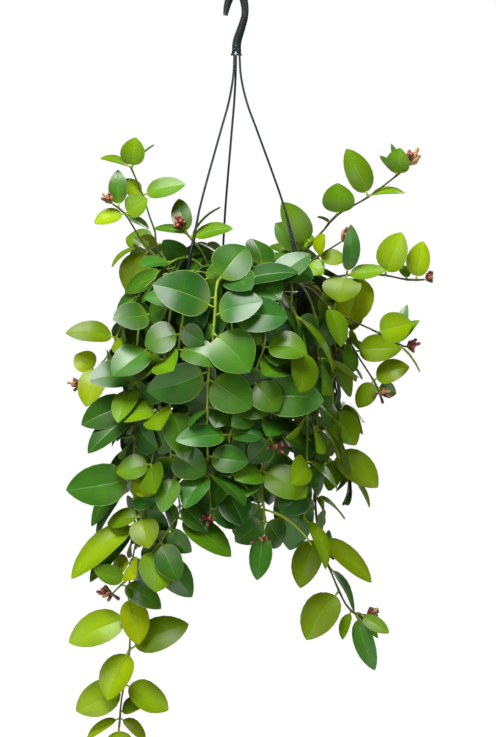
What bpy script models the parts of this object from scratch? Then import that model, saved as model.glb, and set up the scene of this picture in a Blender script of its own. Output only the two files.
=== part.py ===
"""Potted lipstick plant in a hanging pot, with its moulded hook and three hanger arms.

Metres, +Z up. The origin is the saddle inside the hook, from which everything hangs, and the
Z axis is the pot's axis. The plant's front, with the long trails, looks along -Y.
Routes and leaf tips are given in millimetres, as (x, y, z) from the hook's saddle.
"""

import math
import random
from collections import namedtuple

import bmesh
import bpy
from mathutils import Matrix, Vector
from mathutils.bvhtree import BVHTree

for leftover in list(bpy.data.objects):
    bpy.data.objects.remove(leftover)

MM = 0.001
GAP = 0.3 * MM
UP = Vector((0, 0, 1))
SEED = 7

# Hanger: the hook's limbs, its collar and the arms' feet
HOOK_LINE = ((-12.7, -21.5), (-11.2, -12.5), (-8.6, -3.4), (-5.6, 2.2), (0, 4.7), (5.2, 2.4),
             (8.1, -3.4), (9.6, -13.6), (9.4, -21.2), (7.6, -28.8), (4.3, -39.1), (1.0, -49.2),
             (0.0, -56.5))
HOOK_WIDTHS = (5.2, 7.8, 9.4, 9.8, 9.6, 9.8, 9.6, 8.7, 8.2, 8.9, 9.7, 10.3, 10.6)
HOOK_PLATE = 2.6
HOOK_RIB = 8.0
HOOK_RIB_SHARE = 0.32
COLLAR_TOP, COLLAR_FOOT = -54.0, -67.0
COLLAR_RADII = (5.2, 7.0)
ARM_AZIMUTHS = {"right": -17.0, "rear": 103.0, "left": 223.0}
ARM_RADIUS = 1.2
ARM_OUT = 3.6
# The rods leave the collar close together and bow outwards on their way down: (reach, z)
ARM_BOW = ((5.4, -92.0), (12.8, -122.0), (26.6, -158.0))
SOCKET_DEEP = 9.0
SOCKET_SLACK = 0.5
SOCKET_OVERCUT = 2.0
BLADE_TOP = (58.0, -243.0)
BLADE_FOOT = (76.2, -313.0)
BLADE_WIDE, BLADE_THICK = 6.2, 2.0
BLADE_WIDEST = 0.75
RING_MAJOR, RING_MINOR = 3.3, 1.1
RING_OUT, RING_UP = 78.0, 9.3
CLIP_WIDE = 7.0
CLIP_SPAN = (72.9, 82.2)
JAW_THICK, JAW_DEEP = 1.6, 10.0
CATCH_WIDE = 4.0

# Pot, measured from its rim down
RIM_Z = -335.0
POT_HEIGHT = 140.0
RIM_RADIUS = 80.0
RIM_DEEP = 7.5
WALL_TOP_RADIUS = 77.2
BASE_RADIUS = 51.0
WALL = 1.6
EDGE = 2.0
FLOOR_UP = 4.0
FOOT_WIDE, FOOT_UP = 5.5, 1.6
POT_SIDES = 24
SOIL_DOWN = 15.0
SOIL_RINGS = (52.0, 30.0)
SOIL_CROWN = 2.0
SOIL_ROUGH = 1.5
HOLE_DEEP = 15.0
HOLE_SLACK = 0.4
HOLE_OVERCUT = 12.0
HOLE_SIDES = 4
SOIL_SIDES = 20
SOIL_INSET = 1.0

# Stems and leaves
STEM_ROOT_RADIUS, STEM_TIP_RADIUS = 1.8, 1.15
STEM_STEP = 58.0
LEAF_THICKNESS = 1.4
LEAF_ROOT_RADIUS = 0.6
STALK = 4.0
ROOT_FACES = 14
LEAF_FOLD = 0.16
LEAF_ARCH = 0.07
LARGE_LEAF = 45.5
LARGE_STATIONS = ((0.13, 0.42), (0.40, 1.0), (0.74, 0.70))
SMALL_STATIONS = ((0.24, 0.80), (0.62, 0.92))
PAIR_SPACING = 54.0
LEAF_LENGTHS = {"old": 66.0, "mid": 60.0, "young": 54.0}
LEAF_TAPER = 14.0
RULE_FORWARD, RULE_ASIDE, RULE_LIFT = (0.2, 0.85), (0.45, 1.0), (0.03, 0.48)
RULE_DROOP = 1.0
RULE_WIDTH = (0.66, 0.78)
RULE_SHORTER = 0.35
CROWN_PLACE = -0.5
CROWN_LENGTH = (46.0, 56.0)
TRAIL_TOP = (-318.0, -308.0)
TRAIL_RADII = (74.0, 92.0)
TRAIL_STEP = 58.0
TRAIL_SWAY = 2.5
RULE_TRIES = 36
ROOT_RINGS = (16.0, 30.0, 44.0, 56.0)
ROOT_APART = 8.0
ROOT_TRIES = 60
ROOT_SWING = 0.1
RULE_SHIFTS = (0, 4, -4, 8, -8, 12, -12)
BUD_LENGTH = 9.5
BUD_RADII = (1.0, 2.1)
BUD_BOSS = 2.4
BUD_SIDES = 3

COLOURS = {
    "hook": ((0.030, 0.036, 0.036), 0.42),
    "arm": ((0.026, 0.032, 0.032), 0.45),
    "pot": ((0.010, 0.011, 0.017), 0.22),
    "soil": ((0.045, 0.028, 0.018), 0.95),
    "old": ((0.036, 0.125, 0.022), 0.32),
    "mid": ((0.080, 0.230, 0.018), 0.34),
    "young": ((0.200, 0.400, 0.022), 0.38),
    "buds": ((0.230, 0.030, 0.030), 0.45),
}

Vine = namedtuple("Vine", "name tone buds route leaves fill")
Leaf = namedtuple("Leaf", "base tip face width")


def vine(name, tone, buds, route, leaves, fill=None):
    """A stem's route over the rim, its named leaves and the stretch that is filled by rule.

    A leaf is (place along the route, tip, width, turn): a turn of 0 shows the blade's whole
    face to the front and 90 shows its edge.
    """
    return Vine(name, tone, buds, route, leaves, fill)


SHOOTS = [
    vine("shoot_tall_left", "mid", 0,
         [(-62, 18, -320), (-89, 15, -291), (-93, 12, -268), (-99, 8, -251), (-107, 4, -226),
          (-120, 0, -195)],
         [(5, (-115, -6, -160), 26, 10), (5, (-155, -8, -184), 20, 50),
          (5, (-94, 10, -168), 16, 80), (4, (-58, -4, -214), 28, 35),
          (4, (-133, 4, -210), 22, 35)]),
    vine("shoot_low_left", "mid", 4,
         [(-70, -8, -318), (-98, -10, -291), (-110, -12, -275), (-127, -15, -247),
          (-141, -18, -236)],
         [(3.7, (-135, -8, -197), 20, 20), (3, (-162, -20, -258), 24, 35),
          (3, (-101, -26, -230), 26, 25), (3, (-100, -20, -264), 18, 70)]),
    vine("shoot_back_left", "young", 0,
         [(-66, 34, -320), (-92, 36, -296), (-108, 36, -284)],
         [(2, (-143, 30, -308), 22, 85), (1.5, (-125, 40, -338), 34, 10),
          (1.5, (-122, 46, -276), 28, 20), (0.7, (-62, 66, -286), 32, 40)]),
    vine("shoot_near_left", "mid", 4,
         [(-30, 2, -318), (-37, -2, -296), (-44, -5, -285), (-52, -8, -275), (-60, -12, -266)],
         [(3.7, (-66, -2, -230), 22, 10), (3, (-4, -12, -264), 26, 50),
          (3, (-18, 6, -239), 14, 80), (3.7, (-104, -24, -260), 24, 62),
          (2.5, (-20, -4, -294), 14, 75)]),
    vine("crown_left", "old", 0,
         [(-36, -20, -310), (-54, -27, -297), (-74, -38, -302), (-90, -56, -322),
          (-96, -70, -352), (-98, -78, -390), (-97, -82, -425)],
         [(1, (-84, -34, -277), 28, -50), (2, (-109, -56, -308), 32, 60),
          (4.2, (-140, -92, -366), 36, 25), (5.2, (-140, -102, -430), 42, 15),
          (5.6, (-62, -108, -432), 36, 20)]),
    vine("front_left", "old", 4,
         [(-14, -66, -318), (-19, -92, -318), (-23, -108, -332), (-24, -114, -353),
          (-26, -116, -381), (-31, -116, -424), (-33, -114, -468), (-33, -112, -510),
          (-31, -108, -550), (-29, -106, -588)],
         [(3, (-95, -118, -326), 48, 25), (1.6, (12, -84, -284), 42, 15),
          (4, (15, -132, -425), 50, 12), (5, (-101, -124, -446), 42, 20),
          (5.2, (17, -124, -466), 44, 15), (6, (-53, -120, -487), 20, 50),
          (7.2, (14, -118, -527), 30, 20), (7.8, (-59, -124, -579), 30, 35),
          (7.8, (10, -118, -576), 30, 30), (2.4, (-92, -108, -358), 36, 35),
          (3.4, (30, -106, -345), 40, 30)]),
    vine("front_middle", "old", 0,
         [(8, -62, -318), (0, -92, -320), (-4, -110, -338), (-6, -114, -364), (0, -108, -420),
          (4, -106, -476), (-8, -110, -496), (-4, -106, -540)],
         [(1.5, (70, -108, -313), 36, 45), (3, (58, -122, -364), 40, 15),
          (6, (-69, -120, -502), 28, 45), (6, (29, -118, -500), 28, 25),
          (7, (-40, -112, -580), 28, 30), (7, (28, -104, -580), 28, 40),
          (2.5, (-50, -106, -385), 40, 20), (3.4, (48, -102, -405), 42, 25),
          (4.4, (-44, -100, -455), 40, 30), (4.6, (46, -100, -470), 40, 30)]),
    vine("front_right", "old", 4,
         [(30, -58, -318), (36, -88, -322), (38, -106, -342), (34, -112, -375),
          (31, -113, -397), (20, -108, -436), (30, -104, -480), (42, -102, -508)],
         [(4, (80, -120, -404), 38, 20), (4, (0, -104, -366), 26, 45),
          (5, (48, -122, -469), 34, 15), (5.3, (99, -112, -458), 46, 15),
          (1.3, (84, -84, -292), 34, 50)]),
    vine("low_middle", "mid", 4,
         [(52, -50, -316), (62, -78, -325), (60, -88, -360), (50, -92, -420), (38, -92, -480),
          (28, -94, -537), (31, -93, -581), (31, -93, -600), (28, -93, -612)],
         [(5, (79, -112, -567), 38, 10), (6, (86, -104, -622), 26, 55),
          (7.5, (23, -82, -661), 24, 10)],
         (3, 5)),
    vine("right_front", "old", 0,
         [(40, -66, -322), (50, -84, -333), (67, -92, -362), (78, -90, -400), (80, -86, -450),
          (80, -84, -500), (79, -84, -560), (76, -82, -600)],
         [(2, (110, -88, -428), 24, 70), (6, (52, -98, -651), 46, 15),
          (5.6, (51, -70, -611), 40, 20), (6.8, (100, -70, -650), 26, 60)],
         (3, 5.4)),
    vine("left_front", "old", 4,
         [(-78, -22, -320), (-100, -34, -338), (-110, -46, -372), (-114, -56, -420),
          (-114, -64, -460), (-115, -70, -500), (-118, -76, -546), (-113, -80, -585),
          (-108, -80, -615)],
         [(3.3, (-167, -76, -436), 38, 20), (4, (-176, -74, -486), 34, 25),
          (4.2, (-168, -92, -517), 36, 15), (3.6, (-134, -104, -483), 28, 40),
          (4.9, (-148, -100, -507), 34, 10), (6, (-193, -94, -559), 44, 15),
          (6, (-88, -112, -562), 26, 30), (7.4, (-187, -92, -660), 34, 25),
          (7.4, (-166, -106, -664), 24, 20), (5.6, (-165, -48, -602), 30, 45),
          (6, (-160, -62, -617), 34, 20)]),
    vine("middle_left", "mid", 4,
         [(-40, -74, -322), (-50, -98, -330), (-58, -110, -350), (-66, -112, -400),
          (-74, -108, -450), (-76, -106, -500), (-68, -106, -550), (-64, -105, -582),
          (-72, -104, -596), (-91, -100, -624), (-113, -96, -651), (-130, -93, -666),
          (-140, -91, -676)],
         [(4.3, (-59, -126, -522), 42, 15), (5.8, (-84, -124, -584), 26, 30),
          (7.4, (-6, -112, -634), 40, 12), (9, (-91, -118, -674), 40, 5),
          (9.2, (-50, -100, -680), 34, 20), (10.6, (-166, -100, -646), 24, 20),
          (11, (-85, -106, -693), 26, 25), (2.6, (-104, -108, -395), 40, 30),
          (3, (-20, -104, -420), 40, 30)]),
    vine("long_trail", "young", 0,
         [(-50, -66, -312), (-66, -88, -324), (-74, -98, -352), (-80, -98, -410),
          (-88, -94, -470), (-96, -92, -530), (-108, -90, -590), (-118, -90, -640),
          (-122, -90, -678), (-121, -88, -740), (-130, -86, -795), (-132, -85, -818),
          (-134, -84, -838)],
         [(8.4, (-190, -92, -732), 38, 10), (8, (-111, -104, -734), 30, 15),
          (9, (-54, -86, -711), 38, 12), (9, (-146, -100, -797), 40, 8),
          (9.7, (-182, -82, -810), 38, 12), (9.65, (-77, -84, -809), 36, 10),
          (10.6, (-102, -92, -800), 26, 20), (11, (-170, -84, -843), 18, 50),
          (11, (-103, -86, -843), 20, 45), (11.3, (-131, -92, -872), 30, 8)],
         (3, 7)),
    vine("left_edge", "young", 4,
         [(-78, 4, -322), (-106, 4, -334), (-126, 3, -362), (-137, 2, -389), (-146, 2, -408),
          (-162, 0, -426), (-176, -2, -441)],
         [(3, (-195, -6, -383), 28, 20), (3, (-112, -24, -412), 30, 40),
          (5, (-184, 6, -408), 26, 30), (4.6, (-171, -20, -467), 30, 20)]),
    vine("upper_right", "mid", 4,
         [(62, 10, -318), (79, 8, -289), (100, 5, -265), (114, 3, -249), (150, 0, -228),
          (183, -2, -203), (195, -3, -192)],
         [(5, (186, -14, -172), 26, 5), (5, (176, 6, -167), 12, 60), (5, (163, 4, -181), 12, 40),
          (4, (125, -6, -173), 28, 10), (4, (192, -4, -224), 22, 55),
          (3, (115, -8, -212), 34, 5), (2.6, (92, 0, -250), 12, 80),
          (1.3, (51, -2, -234), 30, 20), (1, (44, 16, -258), 26, 20)]),
    vine("right_bud", "young", 4,
         [(66, -8, -322), (80, -10, -305), (100, -12, -291), (119, -13, -279)],
         [(1.7, (100, -22, -270), 22, 15), (1.7, (125, -18, -300), 20, 35),
          (1, (99, -22, -316), 22, 30)]),
    vine("right_long", "young", 4,
         [(60, 2, -322), (76, 0, -327), (90, -6, -327), (108, -12, -320), (125, -16, -317),
          (147, -17, -316), (169, -18, -317), (194, -19, -322), (214, -20, -322)],
         [(4, (170, -26, -312), 24, 45), (4, (130, -22, -259), 20, 10),
          (6, (188, -28, -268), 34, 5), (7.4, (212, -26, -278), 25, 5),
          (7, (186, -8, -304), 14, 40), (4, (118, -32, -348), 42, 10),
          (5, (127, -8, -374), 40, 10)]),
    vine("right_low", "young", 4,
         [(52, -42, -322), (68, -50, -325), (86, -54, -334), (112, -48, -358),
          (159, -40, -381), (184, -36, -395), (193, -34, -398)],
         [(4.2, (200, -46, -371), 32, 10), (5, (194, -28, -350), 14, 50),
          (5, (208, -38, -368), 18, 15), (5.2, (209, -40, -427), 18, 60),
          (2.6, (118, -70, -398), 28, 50)]),
    vine("right_drop", "young", 3,
         [(66, 8, -322), (84, 8, -328), (102, 6, -345), (114, 2, -367), (135, -4, -404),
          (156, -8, -437), (162, -10, -450)],
         [(4, (188, -16, -401), 30, 10), (5, (197, -14, -421), 26, 15),
          (5, (138, -14, -468), 22, 15), (5.4, (182, -4, -452), 18, 20)],
         (1.6, 3.6)),
    vine("right_edge", "young", 0,
         [(74, 26, -320), (94, 24, -334), (104, 18, -370), (108, 12, -420), (110, 6, -470),
          (112, 2, -516), (124, -2, -536), (132, -4, -547)],
         [(5, (161, -12, -559), 34, 15), (7, (152, -2, -582), 18, 50),
          (5.5, (104, -14, -562), 24, 20), (4, (136, -10, -511), 32, 15),
          (4.2, (131, -34, -544), 22, 35)],
         (2, 5)),
    vine("right_trail", "mid", 4,
         [(60, -54, -322), (75, -64, -330), (88, -66, -360), (92, -66, -410), (87, -66, -470),
          (88, -66, -540), (93, -64, -612), (108, -62, -655), (124, -60, -690),
          (136, -58, -701), (147, -57, -702)],
         [(6, (153, -72, -665), 28, 25), (6, (72, -74, -671), 32, 10),
          (7.6, (79, -72, -730), 40, 8), (6.8, (134, -50, -701), 26, 50),
          (8.5, (161, -50, -729), 18, 40), (9, (157, -62, -765), 22, 10),
          (8.6, (120, -64, -730), 14, 35), (9.6, (173, -56, -722), 16, 30)],
         (3, 5.4)),
    vine("shoot_back_right", "mid", 0,
         [(28, 58, -320), (40, 82, -308), (52, 106, -298), (64, 124, -296)],
         [(3, (86, 150, -272), 26, 40), (3, (40, 150, -284), 22, 40)],
         (0.8, 2.6)),
    vine("shoot_rear", "mid", 0,
         [(-36, 54, -320), (-54, 84, -302), (-72, 112, -286), (-94, 134, -282)],
         [(3, (-128, 152, -276), 28, 20), (3, (-92, 168, -300), 22, 40)],
         (0.8, 2.6)),
]

# Trailing stems placed by rule: azimuth, reach from the pot's axis, lowest point, age
SKIRT = ((38, 112, -520, "old"), (50, 128, -460, "mid"), (71, 106, -540, "old"),
         (81, 124, -480, "old"), (91, 118, -560, "mid"), (110, 106, -480, "old"),
         (135, 124, -530, "mid"), (148, 108, -470, "old"), (160, 122, -530, "old"),
         (170, 106, -550, "old"), (187, 112, -500, "mid"), (14, 118, -470, "old"),
         (-64, 96, -480, "old"), (-79, 93, -540, "old"), (-96, 93, -560, "old"),
         (-124, 94, -520, "old"), (-148, 98, -470, "old"))


def principled(name):
    """The material of a sub-part, from its colour and roughness."""
    colour, roughness = COLOURS[name]
    material = bpy.data.materials.new(name)
    material.use_nodes = True
    shader = material.node_tree.nodes["Principled BSDF"]
    shader.inputs["Base Color"].default_value = (*colour, 1)
    shader.inputs["Roughness"].default_value = roughness
    shader.inputs["Metallic"].default_value = 0
    material.diffuse_color = (*colour, 1)
    return material


def collection_named(name, hidden=False):
    made = bpy.data.collections.new(name)
    bpy.context.scene.collection.children.link(made)
    made.hide_render = hidden
    return made


def as_wires(cutters):
    """Shows a collection's cutters as wires, since they only shape other solids."""
    for cutter in cutters.objects:
        cutter.display_type = "WIRE"


def object_from(name, points, faces, collection):
    """An object with outward faces from points and faces."""
    mesh = bpy.data.meshes.new(name)
    mesh.from_pydata([tuple(point) for point in points], [], faces)
    shape = bmesh.new()
    shape.from_mesh(mesh)
    bmesh.ops.recalc_face_normals(shape, faces=shape.faces)
    shape.to_mesh(mesh)
    shape.free()
    made = bpy.data.objects.new(name, mesh)
    collection.objects.link(made)
    return made


def object_from_bmesh(name, shape, collection, matrix=None):
    if matrix is not None:
        bmesh.ops.transform(shape, matrix=matrix, verts=shape.verts)
    mesh = bpy.data.meshes.new(name)
    shape.to_mesh(mesh)
    shape.free()
    made = bpy.data.objects.new(name, mesh)
    collection.objects.link(made)
    return made


def box(name, low, high, collection, matrix=None):
    """A box between two corners in millimetres."""
    low, high = Vector(low) * MM, Vector(high) * MM
    shape = bmesh.new()
    bmesh.ops.create_cube(shape, size=1)
    bmesh.ops.scale(shape, vec=high - low, verts=shape.verts)
    bmesh.ops.translate(shape, vec=(low + high) / 2, verts=shape.verts)
    return object_from_bmesh(name, shape, collection, matrix)


def cylinder(name, radius, low, high, sides, collection, top_radius=None):
    """An upright cylinder or cone from low to high, both centres in millimetres."""
    low, high = Vector(low) * MM, Vector(high) * MM
    shape = bmesh.new()
    bmesh.ops.create_cone(shape, cap_ends=True, segments=sides, radius1=radius * MM,
                          radius2=(top_radius or radius) * MM, depth=(high - low).length)
    turn = Vector((0, 0, 1)).rotation_difference(high - low).to_matrix().to_4x4()
    matrix = Matrix.Translation((low + high) / 2) @ turn
    return object_from_bmesh(name, shape, collection, matrix)


def as_mesh(curve_object, collection):
    """The curve's surface as a welded mesh object, in place of the curve object."""
    graph = bpy.context.evaluated_depsgraph_get()
    mesh = bpy.data.meshes.new_from_object(curve_object.evaluated_get(graph))
    shape = bmesh.new()
    shape.from_mesh(mesh)
    bmesh.ops.remove_doubles(shape, verts=shape.verts, dist=1e-6)
    bmesh.ops.recalc_face_normals(shape, faces=shape.faces)
    shape.to_mesh(mesh)
    shape.free()
    name = curve_object.name
    matrix = curve_object.matrix_world.copy()
    curve = curve_object.data
    bpy.data.objects.remove(curve_object)
    bpy.data.curves.remove(curve)
    made = bpy.data.objects.new(name, mesh)
    made.matrix_world = matrix
    collection.objects.link(made)
    return made


def tube(name, points, radii, resolution, collection):
    """A rod through the points, with a radius at each of them; resolution 0 is three-sided."""
    curve = bpy.data.curves.new(name, "CURVE")
    curve.dimensions = "3D"
    section = None
    if resolution:
        curve.bevel_depth = MM
        curve.bevel_resolution = resolution
    else:
        section = stem_section(collection)
        curve.bevel_mode = "OBJECT"
        curve.bevel_object = section
    curve.use_fill_caps = True
    spline = curve.splines.new("POLY")
    spline.points.add(len(points) - 1)
    for place, point, radius in zip(spline.points, points, radii):
        place.co = (*point, 1)
        place.radius = radius / MM
    made = bpy.data.objects.new(name, curve)
    collection.objects.link(made)
    bpy.context.view_layer.update()
    made = as_mesh(made, collection)
    if section:
        outline = section.data
        bpy.data.objects.remove(section)
        bpy.data.curves.remove(outline)
    return made


def stem_section(collection):
    """A closed three-sided outline, one millimetre from its centre to each corner."""
    outline = bpy.data.curves.new("stem section", "CURVE")
    spline = outline.splines.new("POLY")
    spline.points.add(2)
    for i, place in enumerate(spline.points):
        place.co = (math.cos(math.tau * i / 3) * MM, math.sin(math.tau * i / 3) * MM, 0, 1)
    spline.use_cyclic_u = True
    section = bpy.data.objects.new("stem section", outline)
    collection.objects.link(section)
    return section


def flat_outline(name, outline, thickness, collection):
    """A plate in the XZ plane: an outline in millimetres, extruded both ways along Y."""
    curve = bpy.data.curves.new(name, "CURVE")
    curve.dimensions = "2D"
    curve.fill_mode = "BOTH"
    curve.extrude = thickness * MM / 2
    spline = curve.splines.new("POLY")
    spline.points.add(len(outline) - 1)
    for place, (x, z) in zip(spline.points, outline):
        place.co = (x * MM, z * MM, 0, 1)
    spline.use_cyclic_u = True
    made = bpy.data.objects.new(name, curve)
    made.rotation_euler = (math.pi / 2, 0, 0)
    collection.objects.link(made)
    bpy.context.view_layer.update()
    made = as_mesh(made, collection)
    made.data.transform(made.matrix_world)
    made.matrix_world = Matrix.Identity(4)
    return made


def turned(name, profile, sides, collection):
    """A turned solid: a profile of (radius, z) in millimetres, inside first, then outer side."""
    mesh = bpy.data.meshes.new(name)
    points = [(radius * MM, 0, z * MM) for radius, z in profile]
    mesh.from_pydata(points, [(i, i + 1) for i in range(len(points) - 1)], [])
    made = bpy.data.objects.new(name, mesh)
    collection.objects.link(made)
    screw = made.modifiers.new("Turn", "SCREW")
    screw.steps = sides
    screw.render_steps = sides
    screw.use_merge_vertices = True
    screw.merge_threshold = 0.0001
    return applied(made)


def applied(made):
    """The object with its modifiers made part of its mesh."""
    graph = bpy.context.evaluated_depsgraph_get()
    mesh = bpy.data.meshes.new_from_object(made.evaluated_get(graph))
    made.modifiers.clear()
    made.data = mesh
    return made


def boolean(made, operation, others, solver="EXACT"):
    """One Boolean of the object with a collection, which is emptied and removed afterwards."""
    modifier = made.modifiers.new(operation.title(), "BOOLEAN")
    modifier.operation = operation
    modifier.operand_type = "COLLECTION"
    modifier.collection = others
    modifier.solver = solver
    bpy.context.view_layer.update()
    applied(made)
    for other in list(others.objects):
        bpy.data.objects.remove(other)
    bpy.data.collections.remove(others)
    return made


def finish(made, colour, angle=40):
    """Gives the sub-part its material and smooth shading between sharp edges."""
    made.data.materials.clear()
    made.data.materials.append(bpy.data.materials.get(colour) or principled(colour))
    made.data.shade_smooth()
    made.data.set_sharp_from_angle(angle=math.radians(angle))
    return made


def dissolve_flat(made):
    """Joins the triangles that lie in one plane, which a Boolean leaves round its cuts."""
    shape = bmesh.new()
    shape.from_mesh(made.data)
    bmesh.ops.dissolve_limit(shape, angle_limit=math.radians(0.3), verts=shape.verts,
                             edges=shape.edges)
    bmesh.ops.triangulate(shape, faces=[face for face in shape.faces if len(face.verts) > 4])
    shape.to_mesh(made.data)
    shape.free()


def hook_outline(share):
    """The hook's outline at a share of its full width, as points round both of its sides."""
    line = [Vector((x, z)) for x, z in HOOK_LINE]
    left, right = [], []
    for i, point in enumerate(line):
        before, after = line[max(i - 1, 0)], line[min(i + 1, len(line) - 1)]
        along = (after - before).normalized()
        aside = Vector((-along.y, along.x)) * HOOK_WIDTHS[i] * share / 2
        left.append(point + aside)
        right.append(point - aside)
    return left + right[::-1]


def make_hook(part):
    """The moulded hook: a plate with a rib along its middle, and a collar with arm sockets."""
    hook = flat_outline("hook", hook_outline(1), HOOK_PLATE, part)
    joined = collection_named("hook pieces")
    flat_outline("hook rib", hook_outline(HOOK_RIB_SHARE), HOOK_RIB, joined)
    cylinder("collar", COLLAR_RADII[1], (0, 0, COLLAR_FOOT), (0, 0, COLLAR_TOP), 10, joined,
             COLLAR_RADII[0])
    boolean(hook, "UNION", joined)
    sockets = collection_named("socket cutters", hidden=True)
    for azimuth in ARM_AZIMUTHS.values():
        out = Vector((math.cos(math.radians(azimuth)), math.sin(math.radians(azimuth)), 0))
        top = out * ARM_OUT + Vector((0, 0, COLLAR_FOOT + SOCKET_DEEP))
        foot = out * ARM_OUT + Vector((0, 0, COLLAR_FOOT - SOCKET_OVERCUT))
        cylinder("socket", ARM_RADIUS + SOCKET_SLACK, foot, top, 6, sockets)
    as_wires(sockets)
    boolean(hook, "DIFFERENCE", sockets)
    dissolve_flat(hook)
    return finish(hook, "hook", 30)


def blade_solid(pieces):
    """The flat stretch above an arm's foot, which widens out of the rod and narrows again."""
    top = Vector((BLADE_TOP[0], 0, BLADE_TOP[1]))
    foot = Vector((BLADE_FOOT[0], 0, BLADE_FOOT[1]))
    along = (foot - top).normalized()
    wide = Vector((along.z, 0, -along.x))
    thick = Vector((0, BLADE_THICK / 2, 0))
    corners = []
    for place, half in ((0, ARM_RADIUS), (BLADE_WIDEST, BLADE_WIDE / 2), (1, BLADE_WIDE / 2.4)):
        centre = top.lerp(foot, place)
        for side, front in ((-1, -1), (1, -1), (1, 1), (-1, 1)):
            corners.append((centre + wide * side * half + thick * front) * MM)
    faces = [(3, 2, 1, 0), (8, 9, 10, 11)]
    for level in (0, 4):
        for i in range(4):
            j = (i + 1) % 4
            faces.append((level + i, level + j, level + 4 + j, level + 4 + i))
    return object_from("blade", corners, faces, pieces)


def make_arm(name, azimuth, part):
    """One hanger arm: a rod from the collar, its flat blade, its ring and the rim clip.

    It is drawn in the XZ plane with the radius along X, then turned to its azimuth.
    """
    ring_z = RIM_Z + RING_UP
    ring_centre = Vector((RING_OUT, 0, ring_z))
    socket_top = Vector((ARM_OUT, 0, COLLAR_FOOT + SOCKET_DEEP - SOCKET_SLACK))
    below_collar = Vector((ARM_OUT, 0, COLLAR_FOOT - 1.5))
    bow = [Vector((reach, 0, z)) for reach, z in ARM_BOW + (BLADE_TOP, BLADE_FOOT)]
    neck = ring_centre + Vector((-RING_MINOR / 2, 0, RING_MAJOR))
    points = [point * MM for point in (socket_top, below_collar, *bow, neck)]
    arm = tube("arm_" + name, points, [ARM_RADIUS * MM] * len(points), 1, part)
    pieces = collection_named("arm pieces")
    blade_solid(pieces)
    bpy.ops.mesh.primitive_torus_add(major_radius=RING_MAJOR * MM, minor_radius=RING_MINOR * MM,
                                     major_segments=8, minor_segments=4,
                                     location=ring_centre * MM, rotation=(math.pi / 2, 0, 0))
    torus = bpy.context.object
    for owner in list(torus.users_collection):
        owner.objects.unlink(torus)
    torus.data.transform(torus.matrix_basis)
    torus.matrix_basis = Matrix.Identity(4)
    pieces.objects.link(torus)
    half = CLIP_WIDE / 2
    inner, outer = CLIP_SPAN
    box("bridge", (inner, -half, RIM_Z + GAP / MM), (outer, half, ring_z - RING_MAJOR + 0.2),
        pieces)
    box("inner jaw", (inner, 0.1 - half, RIM_Z - JAW_DEEP),
        (inner + JAW_THICK, half - 0.1, RIM_Z + 1.2), pieces)
    box("outer jaw", (outer - JAW_THICK, 0.1 - half, RIM_Z - JAW_DEEP),
        (outer - 0.1, half - 0.1, RIM_Z + 1.2), pieces)
    box("catch", (outer - CATCH_WIDE, 0.2 - half, RIM_Z - JAW_DEEP + 0.1),
        (outer - 1.0, half - 0.2, RIM_Z - RIM_DEEP - GAP / MM), pieces)
    boolean(arm, "UNION", pieces)
    dissolve_flat(arm)
    arm.data.transform(Matrix.Rotation(math.radians(azimuth), 4, "Z"))
    return finish(arm, "arm", 35)


def wall_radius(depth):
    """The outer radius of the pot's wall, at a depth below the rim."""
    share = (depth - RIM_DEEP) / (POT_HEIGHT - RIM_DEEP)
    return WALL_TOP_RADIUS + (BASE_RADIUS - WALL_TOP_RADIUS) * share


def make_pot(part):
    """The pot: a tapered cup with a rolled rim and a foot ring under its base."""
    floor, rim = POT_HEIGHT - FLOOR_UP, RIM_Z
    lip, foot = wall_radius(RIM_DEEP), wall_radius(POT_HEIGHT)
    profile = [(0, rim - floor),
               (wall_radius(floor) - WALL - EDGE, rim - floor),
               (wall_radius(floor - EDGE) - WALL, rim - floor + EDGE),
               (lip - WALL, rim - RIM_DEEP - 1),
               (lip - WALL + 0.4, rim - 1),
               (lip + 0.2, rim),
               (RIM_RADIUS - EDGE / 2, rim),
               (RIM_RADIUS, rim - EDGE / 2),
               (RIM_RADIUS, rim - RIM_DEEP + 0.6),
               (lip, rim - RIM_DEEP),
               (wall_radius(POT_HEIGHT - EDGE), rim - POT_HEIGHT + EDGE),
               (foot - EDGE, rim - POT_HEIGHT),
               (foot - FOOT_WIDE, rim - POT_HEIGHT),
               (foot - FOOT_WIDE - 1, rim - POT_HEIGHT + FOOT_UP),
               (0, rim - POT_HEIGHT + FOOT_UP)]
    return finish(turned("pot", profile, POT_SIDES, part), "pot", 30)


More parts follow.
